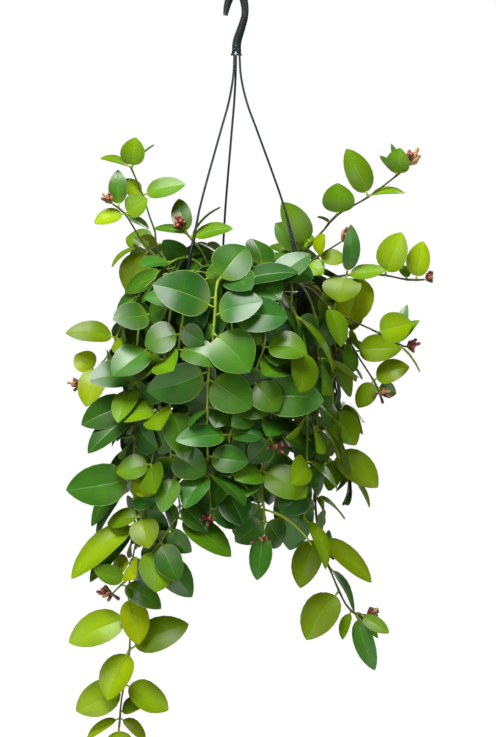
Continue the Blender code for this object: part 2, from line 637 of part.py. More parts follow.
def make_soil(part, stems):
    """Potting mix with a low uneven top, and a plain hole for each stem."""
    depth = POT_HEIGHT - FLOOR_UP
    floor, top = RIM_Z - depth, RIM_Z - SOIL_DOWN
    inset = WALL + SOIL_INSET
    side = wall_radius(SOIL_DOWN + 3) - inset
    profile = [(0, floor + 0.4),
               (wall_radius(depth) - inset - EDGE, floor + 0.4),
               (wall_radius(depth - EDGE) - inset, floor + EDGE + 0.4),
               (side, top - 3),
               (side - 2.5, top - 1),
               (SOIL_RINGS[0], top),
               (SOIL_RINGS[1], top + SOIL_CROWN * 0.75),
               (0, top + SOIL_CROWN)]
    soil = turned("soil", profile[::-1], SOIL_SIDES, part)
    draw = random.Random(SEED)
    for corner in soil.data.vertices:
        radius = math.hypot(corner.co.x, corner.co.y)
        if corner.co.z > (top - 0.5) * MM and radius > 5 * MM:
            corner.co.z += draw.uniform(-SOIL_ROUGH, SOIL_ROUGH) * MM
    holes = collection_named("stem holes", hidden=True)
    for stem in stems:
        x, y, z = stem.points[0] / MM
        radius = (STEM_ROOT_RADIUS + HOLE_SLACK) / math.cos(math.pi / HOLE_SIDES)
        cylinder("hole", radius, (x, y, z - HOLE_SLACK), (x, y, top + HOLE_OVERCUT), HOLE_SIDES,
                 holes)
    as_wires(holes)
    boolean(soil, "DIFFERENCE", holes)
    dissolve_flat(soil)
    return finish(soil, "soil", 50)


def outward(point):
    """The level direction from the pot's axis to a point."""
    level = Vector((point.x, point.y, 0))
    return level.normalized() if level.length > 1e-6 else Vector((0, -1, 0))


class Stem:
    """A stem's route and its smoothed line, with places counted in points of the route."""

    def __init__(self, name, route, root):
        self.name = name
        self.root = root
        surface = (RIM_Z - SOIL_DOWN) * MM
        ground = Vector((root.x, root.y, surface))
        first = Vector(route[0]) * MM
        shoulder = ground.lerp(first, 0.55)
        shoulder.z = max(shoulder.z, first.z - 6 * MM)
        buried = ground - Vector((0, 0, HOLE_DEEP * MM))
        start = ground + Vector((0, 0, 6 * MM))
        self.route = [buried, start, shoulder] + [Vector(point) * MM for point in route]
        self.lead = 3
        self.places, self.points = self.sampled()
        last = len(self.points) - 1
        self.radii = []
        for i in range(last + 1):
            share = i / last
            radius = STEM_ROOT_RADIUS + (STEM_TIP_RADIUS - STEM_ROOT_RADIUS) * share
            self.radii.append(radius * MM)

    def smooth(self, place):
        """The point at a place on the curve through the route."""
        i = min(int(place), len(self.route) - 2)
        t = place - i
        p1, p2 = self.route[i], self.route[i + 1]
        p0 = self.route[i - 1] if i else p1 * 2 - p2
        p3 = self.route[i + 2] if i + 2 < len(self.route) else p2 * 2 - p1
        return (p1 * 2 + (p2 - p0) * t + (p0 * 2 - p1 * 5 + p2 * 4 - p3) * t * t
                + (p1 * 3 - p0 - p2 * 3 + p3) * t * t * t) / 2

    def sampled(self):
        places = [0.0, 1.0]
        for i in range(1, len(self.route) - 1):
            span = (self.route[i + 1] - self.route[i]).length
            steps = max(1, round(span / (STEM_STEP * MM)))
            places += [i + (step + 1) / steps for step in range(steps)]
        return places, [self.smooth(place) for place in places]

    def at(self, place):
        """The point, direction and radius on the stem at a place of the given route."""
        place = min(max(place + self.lead, 1.0), self.places[-1])
        for i in range(len(self.places) - 1):
            if place <= self.places[i + 1]:
                break
        span = self.places[i + 1] - self.places[i]
        share = (place - self.places[i]) / span
        chord = self.points[i + 1] - self.points[i]
        if i + 2 == len(self.places):
            share = min(share, 1 - 1.3 * MM / chord.length)
        return self.points[i] + chord * share, chord.normalized()

    def end(self):
        return self.points[-1], (self.points[-1] - self.points[-2]).normalized()


def tube_shell(points, radii, grow):
    """Points and triangles of a four-sided sleeve round a stem, to test for crossings."""
    shell, faces = [], []
    for i, point in enumerate(points):
        before, after = points[max(i - 1, 0)], points[min(i + 1, len(points) - 1)]
        along = (after - before).normalized()
        side = along.orthogonal().normalized() if i == 0 else (side - along * side.dot(along))
        side.normalize()
        other = along.cross(side)
        radius = radii[i] + grow
        shell += [point + side * radius, point + other * radius, point - side * radius,
                  point - other * radius]
    for i in range(len(points) - 1):
        for j in range(4):
            a, b = 4 * i + j, 4 * i + (j + 1) % 4
            faces += [(a, b, b + 4), (a, b + 4, a + 4)]
    return shell, faces


def leaf_solid(leaf, grow=0.0):
    """Points and triangles of a leaf: a short stalk from inside the stem, then its blade.

    The blade is folded along its rib and arched, and both faces are split alike.
    """
    along = (leaf.tip - leaf.base).normalized()
    length = (leaf.tip - leaf.base).length + grow
    side = along.cross(leaf.face).normalized()
    up = side.cross(along)
    half = LEAF_THICKNESS * MM / 2 + grow
    root = LEAF_ROOT_RADIUS * MM + grow
    points = []
    for distance in (0, STALK * MM):
        centre = leaf.base + along * distance
        points += [centre + up * root, centre - up * root / 2 - side * root,
                   centre - up * root / 2 + side * root]
    faces = [(0, 2, 1)]
    for i in range(3):
        j = (i + 1) % 3
        faces += [(i, j, j + 3), (i, j + 3, i + 3)]
    stations = LARGE_STATIONS if leaf.width > LARGE_LEAF * MM else SMALL_STATIONS
    for share, spread in stations:
        wide = leaf.width / 2 * spread + grow
        rise = LEAF_ARCH * length * 4 * share * (1 - share)
        middle = leaf.base + along * length * share + up * rise
        lift = up * wide * LEAF_FOLD * 2
        points += [middle - side * wide + lift, middle + up * half, middle + side * wide + lift,
                   middle - up * half]
    points.append(leaf.base + along * length)
    left, top, right, under = 6, 7, 8, 9
    faces += [(4, left, 3), (3, left, top), (3, top, right), (3, right, 5),
              (4, under, left), (4, 5, under), (5, right, under)]
    for i in range(len(stations) - 1):
        a = 6 + 4 * i
        b = a + 4
        faces += [(a, b, a + 1), (a + 1, b, b + 1), (a + 1, b + 1, a + 2), (a + 2, b + 1, b + 2),
                  (a, a + 3, b), (a + 3, b + 3, b), (a + 3, a + 2, b + 3), (a + 2, b + 2, b + 3)]
    a = 6 + 4 * (len(stations) - 1)
    tip = len(points) - 1
    faces += [(a, tip, a + 1), (a + 1, tip, a + 2), (a + 2, tip, a + 3), (a + 3, tip, a)]
    return points, faces


class Taken:
    """The space that placed pieces hold, kept as one search tree for each of them."""

    def __init__(self):
        self.shapes = []

    def add(self, owner, points, faces):
        self.shapes.append((owner, BVHTree.FromPolygons(points, faces), bounds_of(points)))

    def crossed(self, points, faces, owner=None):
        """The owners of the pieces that a shape crosses, apart from its own."""
        tree = BVHTree.FromPolygons(points, faces)
        low, high = bounds_of(points)
        found = []
        for other, held, (other_low, other_high) in self.shapes:
            if other == owner or apart(low, high, other_low, other_high):
                continue
            if tree.overlap(held):
                found.append(other)
        return found


def bounds_of(points):
    low = Vector([min(point[i] for point in points) for i in range(3)])
    high = Vector([max(point[i] for point in points) for i in range(3)])
    return low, high


def apart(low, high, other_low, other_high):
    return any(low[i] > other_high[i] or high[i] < other_low[i] for i in range(3))


def facing(along, turn, front):
    """The normal of a blade that grows along a direction, turned from its front view."""
    flat = front - along * front.dot(along)
    if flat.length < 0.2:
        flat = Vector((0, 0, 1)) - along * along.z
    flat.normalize()
    raised = along.cross(flat)
    if raised.z < 0:
        raised.negate()
    angle = math.radians(turn)
    return flat * math.cos(angle) + raised * math.sin(angle)


def settle(choices, owner, taken, own, crossing):
    """The first leaf that clears every other piece and its own stem's blades.

    Where crossing is allowed, a leaf that clears only the other pieces is the last resort.
    """
    spare = None
    for leaf in choices:
        points, faces = leaf_solid(leaf, GAP)
        if taken.crossed(points, faces, owner):
            continue
        if not own.crossed(points, faces[ROOT_FACES:]):
            return leaf
        if crossing:
            spare = spare or leaf
    return spare


def named_leaf_choices(stem, place, tip, width, turn, draw):
    """A named leaf as drawn, then with its tip nearer or further, turned and a little smaller."""
    base, _ = stem.at(place)
    front = Vector((0, -1, 0.12))
    for size in (1.0, 0.93, 0.86, 0.78):
        for depth in (0, -6, 6, -12, 12, -20, 20, -28):
            for extra in (0, 14, -14, 28):
                shift = Vector((0, depth * MM, 0))
                if size < 1:
                    shift += Vector((draw.uniform(-6, 6), 0, draw.uniform(-6, 6))) * MM
                end = base + (Vector(tip) * MM + shift - base) * size
                along = (end - base).normalized()
                yield Leaf(base, end, facing(along, turn + extra, front), width * MM * size)


def rule_leaf_choices(stem, place, hand, length, draw):
    """Leaves of a pair by rule: out to one side of the stem, hanging over its outer side."""
    base, along = stem.at(place)
    away = outward(base)
    out = (away * 0.8 + UP * 0.55)
    out = (out - along * out.dot(along)).normalized()
    side = along.cross(out) * hand
    droop = RULE_DROOP * (1 - abs(along.z))
    for attempt in range(RULE_TRIES):
        ease = attempt / RULE_TRIES
        forward = draw.uniform(*RULE_FORWARD)
        aside = draw.uniform(*RULE_ASIDE) - 0.3 * ease
        lift = draw.uniform(*RULE_LIFT) + 0.6 * ease
        heading = along * forward + side * aside + out * lift - UP * droop
        heading = heading.normalized()
        reach = length * (1 - RULE_SHORTER * ease) * MM
        face = away + UP * 0.7 + side * draw.uniform(-0.3, 0.3)
        face = (face - heading * face.dot(heading)).normalized()
        width = reach * draw.uniform(*RULE_WIDTH)
        yield Leaf(base, base + heading * reach, face, width)


def crown_leaf_choices(stem, draw):
    """Leaves that rise from a stem above the soil and cover the pot's mouth."""
    base, _ = stem.at(CROWN_PLACE)
    away = outward(base)
    aside = away.cross(UP)
    for attempt in range(RULE_TRIES):
        ease = attempt / RULE_TRIES
        heading = (UP * draw.uniform(0.3, 0.9) - away * draw.uniform(0.2, 0.9)
                   + aside * draw.uniform(-0.8, 0.8)).normalized()
        reach = draw.uniform(*CROWN_LENGTH) * (1 - RULE_SHORTER * ease) * MM
        face = UP * 0.8 + away * 0.4
        face = (face - heading * face.dot(heading)).normalized()
        yield Leaf(base, base + heading * reach, face, reach * draw.uniform(*RULE_WIDTH))


def skirt_vine(index, azimuth, reach, lowest, tone):
    """A stem by rule: over the rim at an azimuth, then down at its reach with a slight sway."""
    draw = random.Random(SEED + 100 + index)
    height = draw.uniform(*TRAIL_TOP)
    steps = [(TRAIL_RADII[0], height), (TRAIL_RADII[1], height - 4), (reach, height - 24)]
    fall = height - 60
    while fall > lowest:
        steps.append((reach + draw.uniform(-3, 5), fall))
        fall -= TRAIL_STEP
    steps.append((reach + 2, lowest))
    route = []
    for i, (radius, z) in enumerate(steps):
        sway = draw.uniform(-TRAIL_SWAY, TRAIL_SWAY) if i > 2 else 0
        angle = math.radians(azimuth + sway)
        route.append((radius * math.cos(angle), radius * math.sin(angle), z))
    name = "trail_%02d" % (index + 1)
    return vine(name, tone, 0, route, [], (0.6, len(route) - 1))


def stem_choices(one, index, roots):
    """Stems of a vine with other roots and, for a vine by rule, turned about the pot's axis."""
    rings = ROOT_RINGS[index % 4:] + ROOT_RINGS[:index % 4]
    for shift in RULE_SHIFTS if not one.leaves else (0,):
        turn = Matrix.Rotation(math.radians(shift), 3, "Z")
        route = [turn @ Vector(point) for point in one.route]
        angle = math.atan2(route[0].y, route[0].x)
        for swing in range(ROOT_TRIES):
            swung = angle + ROOT_SWING * (swing // 2) * (1 if swing % 2 else -1)
            root = Vector((math.cos(swung), math.sin(swung), 0)) * rings[swing % 4] * MM
            if all((root - other).length > ROOT_APART * MM for other in roots):
                yield Stem(one.name, route, root)


def rooted(vines, taken):
    """Each vine's stem, rooted on the side that it leaves the pot by, clear of the others."""
    roots, stems = [], []
    for index, one in enumerate(vines):
        for stem in stem_choices(one, index, roots):
            shell, faces = tube_shell(stem.points, stem.radii, GAP)
            crossed = taken.crossed(shell, faces, one.name)
            if not crossed:
                break
        if crossed:
            print("stem", one.name, "crosses", crossed)
        roots.append(stem.root)
        stems.append(stem)
        taken.add(one.name, shell, faces)
    return stems


def bud_cluster(stem, count, draw):
    """The placement and the bud lines of a cluster that sits on a stem's end."""
    end, along = stem.end()
    centre = end + along * (BUD_BOSS * MM + 1.2 * GAP)
    start = along.orthogonal().normalized()
    buds = []
    for i in range(count):
        turn = Matrix.Rotation(math.tau * i / max(count - 1, 1) + draw.uniform(0, 0.5), 3, along)
        lean = 0.12 if i == count - 1 else draw.uniform(0.75, 1.0)
        heading = (along + turn @ start * lean).normalized()
        reach = BUD_LENGTH * draw.uniform(0.85, 1.1) * MM
        buds.append((centre + heading * MM, centre + heading * reach))
    turn = UP.rotation_difference(along).to_matrix().to_4x4()
    return Matrix.Translation(centre) @ turn, buds


def make_buds(name, place, buds, part):
    """A cluster of tubular buds on a small boss, one solid."""
    shape = bmesh.new()
    bmesh.ops.create_uvsphere(shape, u_segments=4, v_segments=2, radius=BUD_BOSS * MM)
    cluster = object_from_bmesh(name, shape, part, place)
    pieces = collection_named("buds")
    for low, high in buds:
        cylinder("bud", BUD_RADII[0], low / MM, high / MM, BUD_SIDES, pieces, BUD_RADII[1])
    boolean(cluster, "UNION", pieces, "MANIFOLD")
    dissolve_flat(cluster)
    return finish(cluster, "buds", 45)


def make_vine(one, stem, leaves, part):
    """A leafy stem: the stem's tube and all its blades joined in one solid."""
    body = tube(one.name, stem.points, stem.radii, 0, part)
    blades = collection_named("blades")
    for leaf in leaves:
        points, faces = leaf_solid(leaf)
        object_from("blade", points, faces, blades)
    boolean(body, "UNION", blades, "MANIFOLD")
    dissolve_flat(body)
    return finish(body, one.tone, 35)


def evaluated_shape(made):
    """Points and triangles of an object, in the world."""
    made.data.calc_loop_triangles()
    points = [made.matrix_world @ corner.co for corner in made.data.vertices]
    return points, [tuple(face.vertices) for face in made.data.loop_triangles]


def place_leaves(vines, stems, taken):
    """The leaves of every vine: first the named ones, in turn, then those by rule."""
    grown = {one.name: [] for one in vines}
    held = {one.name: Taken() for one in vines}

    def grow(one, choices, crossing=False):
        leaf = settle(choices, one.name, taken, held[one.name], crossing)
        if leaf:
            grown[one.name].append(leaf)
            points, faces = leaf_solid(leaf)
            taken.add(one.name, points, faces)
            held[one.name].add("blade", points, faces[ROOT_FACES:])
        return leaf

    draw = random.Random(SEED)
    for rank in range(max(len(one.leaves) for one in vines)):
        for one, stem in zip(vines, stems):
            if rank < len(one.leaves):
                place, tip, width, turn = one.leaves[rank]
                choices = named_leaf_choices(stem, place, tip, width, turn, draw)
                if not grow(one, choices, crossing=True):
                    print("no room for a leaf of", one.name, "at", place)
    for index, (one, stem) in enumerate(zip(vines, stems)):
        draw = random.Random(SEED + 1000 + index)
        if index % 2:
            grow(one, crown_leaf_choices(stem, draw))
        if one.fill is None:
            continue
        first, last = one.fill
        length = sum((stem.route[i + 1] - stem.route[i]).length
                     for i in range(stem.lead + int(first), stem.lead + int(last)))
        count = max(1, round(length / (PAIR_SPACING * MM)))
        for i in range(count + 1):
            place = first + (last - first) * i / count
            size = LEAF_LENGTHS[one.tone] - LEAF_TAPER * i / count
            for hand in (1, -1):
                grow(one, rule_leaf_choices(stem, place, hand, size, draw))
    return grown


def main():
    part = collection_named("Potted lipstick plant")
    taken = Taken()
    hook = make_hook(part)
    arms = [make_arm(name, azimuth, part) for name, azimuth in ARM_AZIMUTHS.items()]
    pot = make_pot(part)
    for made in [hook, pot] + arms:
        taken.add(made.name, *evaluated_shape(made))
    vines = SHOOTS + [skirt_vine(i, *row) for i, row in enumerate(SKIRT)]
    stems = rooted(vines, taken)
    soil = make_soil(part, stems)
    taken.add("soil", *evaluated_shape(soil))
    clusters = []
    for index, (one, stem) in enumerate(zip(vines, stems)):
        if one.buds:
            draw = random.Random(SEED + 500 + index)
            place, buds = bud_cluster(stem, one.buds, draw)
            clusters.append((one.name + "_buds", place, buds))
            for low, high in buds:
                ends = [place.translation, high]
                shell, faces = tube_shell(ends, [BUD_RADII[1] * MM] * 2, 0)
                taken.add(one.name + " buds", shell, faces)
    grown = place_leaves(vines, stems, taken)
    for one, stem in zip(vines, stems):
        make_vine(one, stem, grown[one.name], part)
    for name, place, buds in clusters:
        make_buds(name, place, buds, part)
    print(sum(len(leaves) for leaves in grown.values()), "leaves")


main()
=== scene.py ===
import math
import random
from collections import namedtuple

import bpy
import numpy as np
from mathutils import Matrix, Vector
from mathutils.bvhtree import BVHTree
from mathutils.noise import noise as noise_at


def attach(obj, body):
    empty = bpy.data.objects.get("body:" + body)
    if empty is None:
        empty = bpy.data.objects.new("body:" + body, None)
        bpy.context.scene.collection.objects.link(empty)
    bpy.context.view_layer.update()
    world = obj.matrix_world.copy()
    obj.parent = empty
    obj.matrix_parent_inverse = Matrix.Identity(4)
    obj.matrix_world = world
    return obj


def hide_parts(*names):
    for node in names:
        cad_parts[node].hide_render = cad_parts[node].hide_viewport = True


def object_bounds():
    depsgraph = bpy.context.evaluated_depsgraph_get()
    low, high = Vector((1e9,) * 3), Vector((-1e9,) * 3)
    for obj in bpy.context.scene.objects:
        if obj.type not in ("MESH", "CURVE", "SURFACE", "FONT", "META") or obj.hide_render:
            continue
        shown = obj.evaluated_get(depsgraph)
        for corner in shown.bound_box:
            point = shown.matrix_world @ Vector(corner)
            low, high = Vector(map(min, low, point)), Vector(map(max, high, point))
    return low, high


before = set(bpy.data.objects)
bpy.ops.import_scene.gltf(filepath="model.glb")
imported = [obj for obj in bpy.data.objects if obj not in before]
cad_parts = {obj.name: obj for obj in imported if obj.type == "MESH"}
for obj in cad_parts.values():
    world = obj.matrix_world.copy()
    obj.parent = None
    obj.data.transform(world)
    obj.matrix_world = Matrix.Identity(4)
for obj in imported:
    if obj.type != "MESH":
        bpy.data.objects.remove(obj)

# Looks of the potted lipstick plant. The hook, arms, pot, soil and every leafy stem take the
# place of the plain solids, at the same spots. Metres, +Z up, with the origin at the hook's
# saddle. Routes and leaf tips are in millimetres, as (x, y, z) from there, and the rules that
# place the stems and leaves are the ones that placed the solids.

cad_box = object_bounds()
bpy.ops.object.select_all(action="DESELECT")


# Metres in a millimetre, and the least gap between solids
MM = 0.001
GAP = 0.3 * MM
UP = Vector((0, 0, 1))

# The seed of every random draw, and what each rule adds to it
SEED = 7
TRAIL_DRAW, BUD_DRAW, LEAF_DRAW = 100, 500, 1000
LOOKS_DRAW, INNER_DRAW, SOIL_DRAW = 2000, 3000, 4000

# Hanger: the hook's middle line as (x, z), its widths there, its collar and the arms
HOOK_LINE = ((-12.7, -21.5), (-11.2, -12.5), (-8.6, -3.4), (-5.6, 2.2), (0, 4.7), (5.2, 2.4),
             (8.1, -3.4), (9.6, -13.6), (9.4, -21.2), (7.6, -28.8), (4.3, -39.1), (1.0, -49.2),
             (0.0, -56.5), (0.0, -61.5), (0.0, -65.6))
HOOK_WIDTHS = (5.2, 7.8, 9.4, 9.8, 9.6, 9.8, 9.6, 8.7, 8.2, 8.9, 9.7, 10.3, 10.6, 10.9, 12.4)
HOOK_STEPS = 4
HOOK_PLATE, HOOK_RIB = 2.6, 8.0
HOOK_RIB_SHARE, HOOK_SIDE_SHARE = 0.32, 0.485
RIB_REACH = 2.1
COLLAR_FOOT = -67.0
COLLAR_PROFILE = ((0, -55.0), (4.2, -55.0), (4.6, -59.5), (5.3, -63.2), (6.5, -65.4),
                  (6.9, -66.4), (6.8, -67.0), (5.6, -67.0), (5.5, -64.5), (0, -64.5))
COLLAR_STEPS = 48
ARM_AZIMUTHS = {"right": -17.0, "rear": 103.0, "left": 223.0}
ARM_OUT = 3.6
ARM_BOW = ((5.4, -92.0), (12.8, -122.0), (26.6, -158.0))
ROD_RADIUS = 1.3
SOCKET_DEEP, SOCKET_SLACK = 9.0, 0.5
BLADE_TOP, BLADE_FOOT = (58.0, -243.0), (76.2, -313.0)
BLADE_WIDE, ARM_BLADE_THICK = 6.2, 2.0
BLADE_WIDEST = 0.75
BLADE_RINGS, ARM_STEPS = 8, 4
NECK_SHARE, NECK_HALVES = 0.35, (1.6, 1.1)
RING_MAJOR, RING_MINOR = 3.3, 1.1
RING_OUT, RING_UP = 78.0, 9.3
CLIP_WIDE = 7.0
CLIP_SPAN = (72.9, 82.2)
JAW_THICK, JAW_DEEP, JAW_RISE = 1.6, 10.0, 1.2
CATCH_WIDE, CATCH_BACK = 4.0, 1.0
CLIP_STEP, RING_SUNK = 0.1, 0.2

# Pot and soil
RIM_Z = -335.0
POT_HEIGHT = 140.0
RIM_RADIUS, RIM_DEEP = 80.0, 7.5
WALL_TOP_RADIUS, BASE_RADIUS = 77.2, 51.0
WALL, EDGE = 1.6, 2.0
FLOOR_UP = 4.0
FOOT_WIDE, FOOT_UP = 5.5, 1.6
POT_RIBS, RIB_HALF, RIB_RISE = (24, 118), 1.2, 0.3
POT_STEPS = 96
SOIL_DOWN, SOIL_CROWN = 15.0, 2.0
SOIL_INSET, SOIL_LIFT, SOIL_SHOULDER = 1.0, 0.6, 3.5
SOIL_RINGS, SOIL_STEPS = 16, 72
HOLE_DEEP = 15.0
CHIPS, CHIPS_INSET, CHIP_TILTS = 210, 9, (0.5, 0.3)
CHIP_SIZES = ((7.5, 3.6, 1.6), (5.0, 3.0, 1.5), (3.4, 2.6, 1.8))

# Stems and plain leaves
STEM_ROOT_RADIUS, STEM_TIP_RADIUS = 1.8, 1.15
STEM_STEP = 58.0
LEAF_THICKNESS = 1.4
LEAF_ROOT_RADIUS = 0.6
STALK = 4.0
ROOT_FACES = 14
LEAF_FOLD, LEAF_ARCH = 0.16, 0.07
LARGE_LEAF = 45.5
LARGE_STATIONS = ((0.13, 0.42), (0.40, 1.0), (0.74, 0.70))
SMALL_STATIONS = ((0.24, 0.80), (0.62, 0.92))

# How a named leaf finds room: smaller, nearer or further, turned, and astray when it is smaller
NAMED_SIZES, NAMED_STRAY = (1.0, 0.93, 0.86, 0.78), 6
NAMED_DEPTHS, NAMED_TURNS = (0, -6, 6, -12, 12, -20, 20, -28), (0, 14, -14, 28)

# Leaves by rule: spacing, lengths, how they head and how much they shrink to find room
PAIR_SPACING = 54.0
LEAF_LENGTHS = {"old": 66.0, "mid": 60.0, "young": 54.0}
LEAF_TAPER = 14.0
RULE_FORWARD, RULE_ASIDE, RULE_LIFT = (0.2, 0.85), (0.45, 1.0), (0.03, 0.48)
RULE_DROOP = 1.0
RULE_WIDTH = (0.66, 0.78)
RULE_SHORTER, RULE_TRIES = 0.35, 36
CROWN_PLACE, CROWN_LENGTH = -0.5, (46.0, 56.0)

# Trails by rule, and where every stem is rooted
TRAIL_TOP, TRAIL_RADII = (-318.0, -308.0), (74.0, 92.0)
TRAIL_STEP, TRAIL_SWAY = 58.0, 2.5
ROOT_RINGS = (16.0, 30.0, 44.0, 56.0)
ROOT_APART, ROOT_TRIES, ROOT_SWING = 8.0, 60, 0.1
RULE_SHIFTS = (0, 4, -4, 8, -8, 12, -12)

# Buds: the plain ones, then the fine ones
BUD_LENGTH, BUD_BOSS = 9.5, 2.4
BUD_RADIUS = 2.1
BUDS_EACH = 13
BUD_TURN, BUD_SPREAD = 2.4, 0.62
BUD_SPAN, BUD_WAIST = 18.0, 2.7
BUD_RISE, BUD_OUT = 0.75, 0.2
LARGE_BUDS = {"upper_right": 1.35, "shoot_near_left": 1.3, "middle_left": 1.2, "right_bud": 1.2}
BOX_ROOM = 0.003

# Fine blades: rows along a blade and its spread there, for common and for large leaves. Points
# of a unit shape within CLOSE are at the same place. A blade outside the solids' box counts as
# OUTSIDE crossings, so that one inside it is chosen
BLADE_ROWS = (0.0, 0.03, 0.10, 0.21, 0.35, 0.50, 0.65, 0.78, 0.89, 0.96, 1.0)
BLADE_SPREAD = (0.14, 0.40, 0.68, 0.89, 0.99, 0.99, 0.89, 0.70, 0.44, 0.20, 0.03)
LARGE_ROWS = (0.0, 0.03, 0.08, 0.15, 0.24, 0.34, 0.45, 0.56, 0.67, 0.78, 0.88, 0.95, 1.0)
LARGE_SPREAD = (0.14, 0.38, 0.60, 0.80, 0.93, 0.99, 1.0, 0.96, 0.86, 0.69, 0.45, 0.22, 0.03)
CLOSE = 0.001
BLADE_START = 0.105
BLADE_THICK = 0.0009
WIDER, WIDER_EASE = 1.10, 0.24
BLADE_TRIES, TIP_STRAY = 30, 0.32
OUTSIDE = 100
BOX_SLACK = 0.00002
RIB_DEPTH = 1.7
CREASE, MARGIN_FALL = 0.15, 0.05
STALK_RADIUS = 0.0010
ROLL, ARCH_SPAN = 0.20, (0.5, 1.8)
FINE_STEP = 0.009
FINE_STEM = (1.6, 1.1)
NODE_SWELL, NODE_REACH = 0.35, 0.0025
FINE_NARROWS = 1.4

# Ages, from 0 for old to 1 for young. Leaves are darker up to OPEN_REACH from the axis and down
# to OPEN_FOOT, and get fresher over OPEN_EASE from there and on the right side
AGES = {"old": 0.12, "mid": 0.50, "young": 0.90}
OPEN_REACH, OPEN_FOOT, OPEN_EASE = 0.10, -0.56, 0.06
RIGHT_SIDE, RIGHT_EASE, RIGHT_FRESHER = 0.06, 0.05, 0.32
BUSH_AGE, AGE_STRAY = 0.35, (-0.10, 0.14)
# Painted shade: leaves inside the bush have their age and their random shade scaled down by the
# first two, so that they look darker. EDGE_AGE is the age span of the edge-on leaves
SHADED_AGE_INSIDE, PAINTED_SHADE_INSIDE, EDGE_AGE = 0.35, 0.3, (0.45, 0.80)
STEM_AGE, STEM_FRESHER = 0.45, 0.35

# More leaves than the solids have, on the inner side of the stems that hang round the pot
FILL_SPACING = 24.0
FILL_LENGTH = (40.0, 56.0)
BUSH_REACH, BUSH_TOP, BUSH_FOOT = 0.150, -0.312, -0.640
RIM_VIEW_X, RIM_VIEW_Z = (0.052, 0.092), (-0.372, -0.322)

# Leaves of the right-hand bundle that hang edge-on to the front, by their place on the stem
EDGE_ON = {"right_front": (4, 5, 6, 7, 8), "right_trail": (8, 9, 10, 11, 12, 13),
           "right_edge": (4, 6, 7, 8, 9), "low_middle": (4,), "trail_12": (3, 5),
           "trail_13": (2,)}
EDGE_FACES = ((1.0, -0.28, 0.15), (1.0, -0.05, 0.15), (1.0, -0.55, 0.15), (1.0, 0.25, 0.15),
              (-1.0, -0.28, 0.15), (-1.0, -0.55, 0.15))
FLAT_FACE, ACROSS = (0.15, -0.25, 1.0), 0.6
EDGE_WIDTH = 0.82
EDGE_DROPS = (0.0, 0.5, 1.0, 2.0)

# Ages of the leaves that don't follow the rule, by their place on the stem
LEAF_AGES = {
    "shoot_tall_left": (0.66, 0.70, 0.66, 0.50, 0.82),
    "shoot_low_left": (0.34, 0.85, 0.68, 0.35),
    "shoot_near_left": (0.34, 0.52),
    "front_right": (0.45, 0.30, 0.40, 0.16),
    "low_middle": (0.62, 0.72, 0.10),
    "right_front": (0.70, 0.06, 0.30, 0.75),
    "left_front": (0.12, 0.15, 0.10, 0.60, 0.12, 0.15, 0.92, 0.80, 0.30),
    "middle_left": (0.35, 0.35, 0.42, 0.62, 0.14, 0.52, 0.34),
    "long_trail": (0.80, 0.98, 0.74, 0.86, 0.84, 0.80, 0.70, 0.88, 0.92, 0.90),
    "upper_right": (0.52, 0.25, 0.30, 0.62, 0.70, 0.52, 0.30, 0.58, 0.45),
    "right_long": (0.62, 0.10, 0.80, 0.88, 0.60, 0.78, 0.98),
    "right_low": (0.78, 0.25, 0.60, 0.75, 0.60),
    "right_drop": (0.76, 0.86, 0.72, 0.50),
    "right_edge": (0.78, 0.75, 0.65, 0.72, 0.60),
    "right_trail": (0.84, 0.82, 0.80, 0.28, 0.62, 0.12, 0.64, 0.66),
    "trail_13": (0.14, 0.12, 0.08),
}

# Woody stems of the open sprays, which look darker than the fresh trailing ones
STEM_WEAR = {"upper_right": 1.0, "right_bud": 0.95, "right_long": 0.95, "right_low": 1.0,
             "right_drop": 0.9, "shoot_tall_left": 0.85, "shoot_low_left": 0.85,
             "right_trail": 0.85, "long_trail": 0.7, "front_left": 0.0, "front_middle": 0.0,
             "front_right": 0.1, "low_middle": 0.1}
COMMON_WEAR = 0.35

# Share of a cluster's buds that are straw-coloured
STRAW_BUDS = {"upper_right": 0.65, "right_bud": 0.5}
COMMON_STRAW = 0.25

# Studio: lamps as (name, place, size, power), and the camera at the photo's angle
WORLD_LIGHT, FLOOR_GLOW = 0.088, 0.93
FLOOR_Z, FLOOR_RADIUS = -1.05, 12
LAMPS = (("softbox above", (-0.35, -0.75, 1.15), 1.1, 74),
         ("window left", (-1.7, -1.5, 0.1), 1.0, 20),
         ("window right", (1.5, -1.3, 0.1), 1.0, 13),
         ("behind", (0.9, 1.7, 0.6), 1.0, 28))
LAMP_AIM = (0, 0, -0.45)
CAMERA_AWAY, CAMERA_TILT = 12.0, 1.2
CAMERA_AIM, VIEW_HALF = (0.013, 0, -0.4235), 0.420

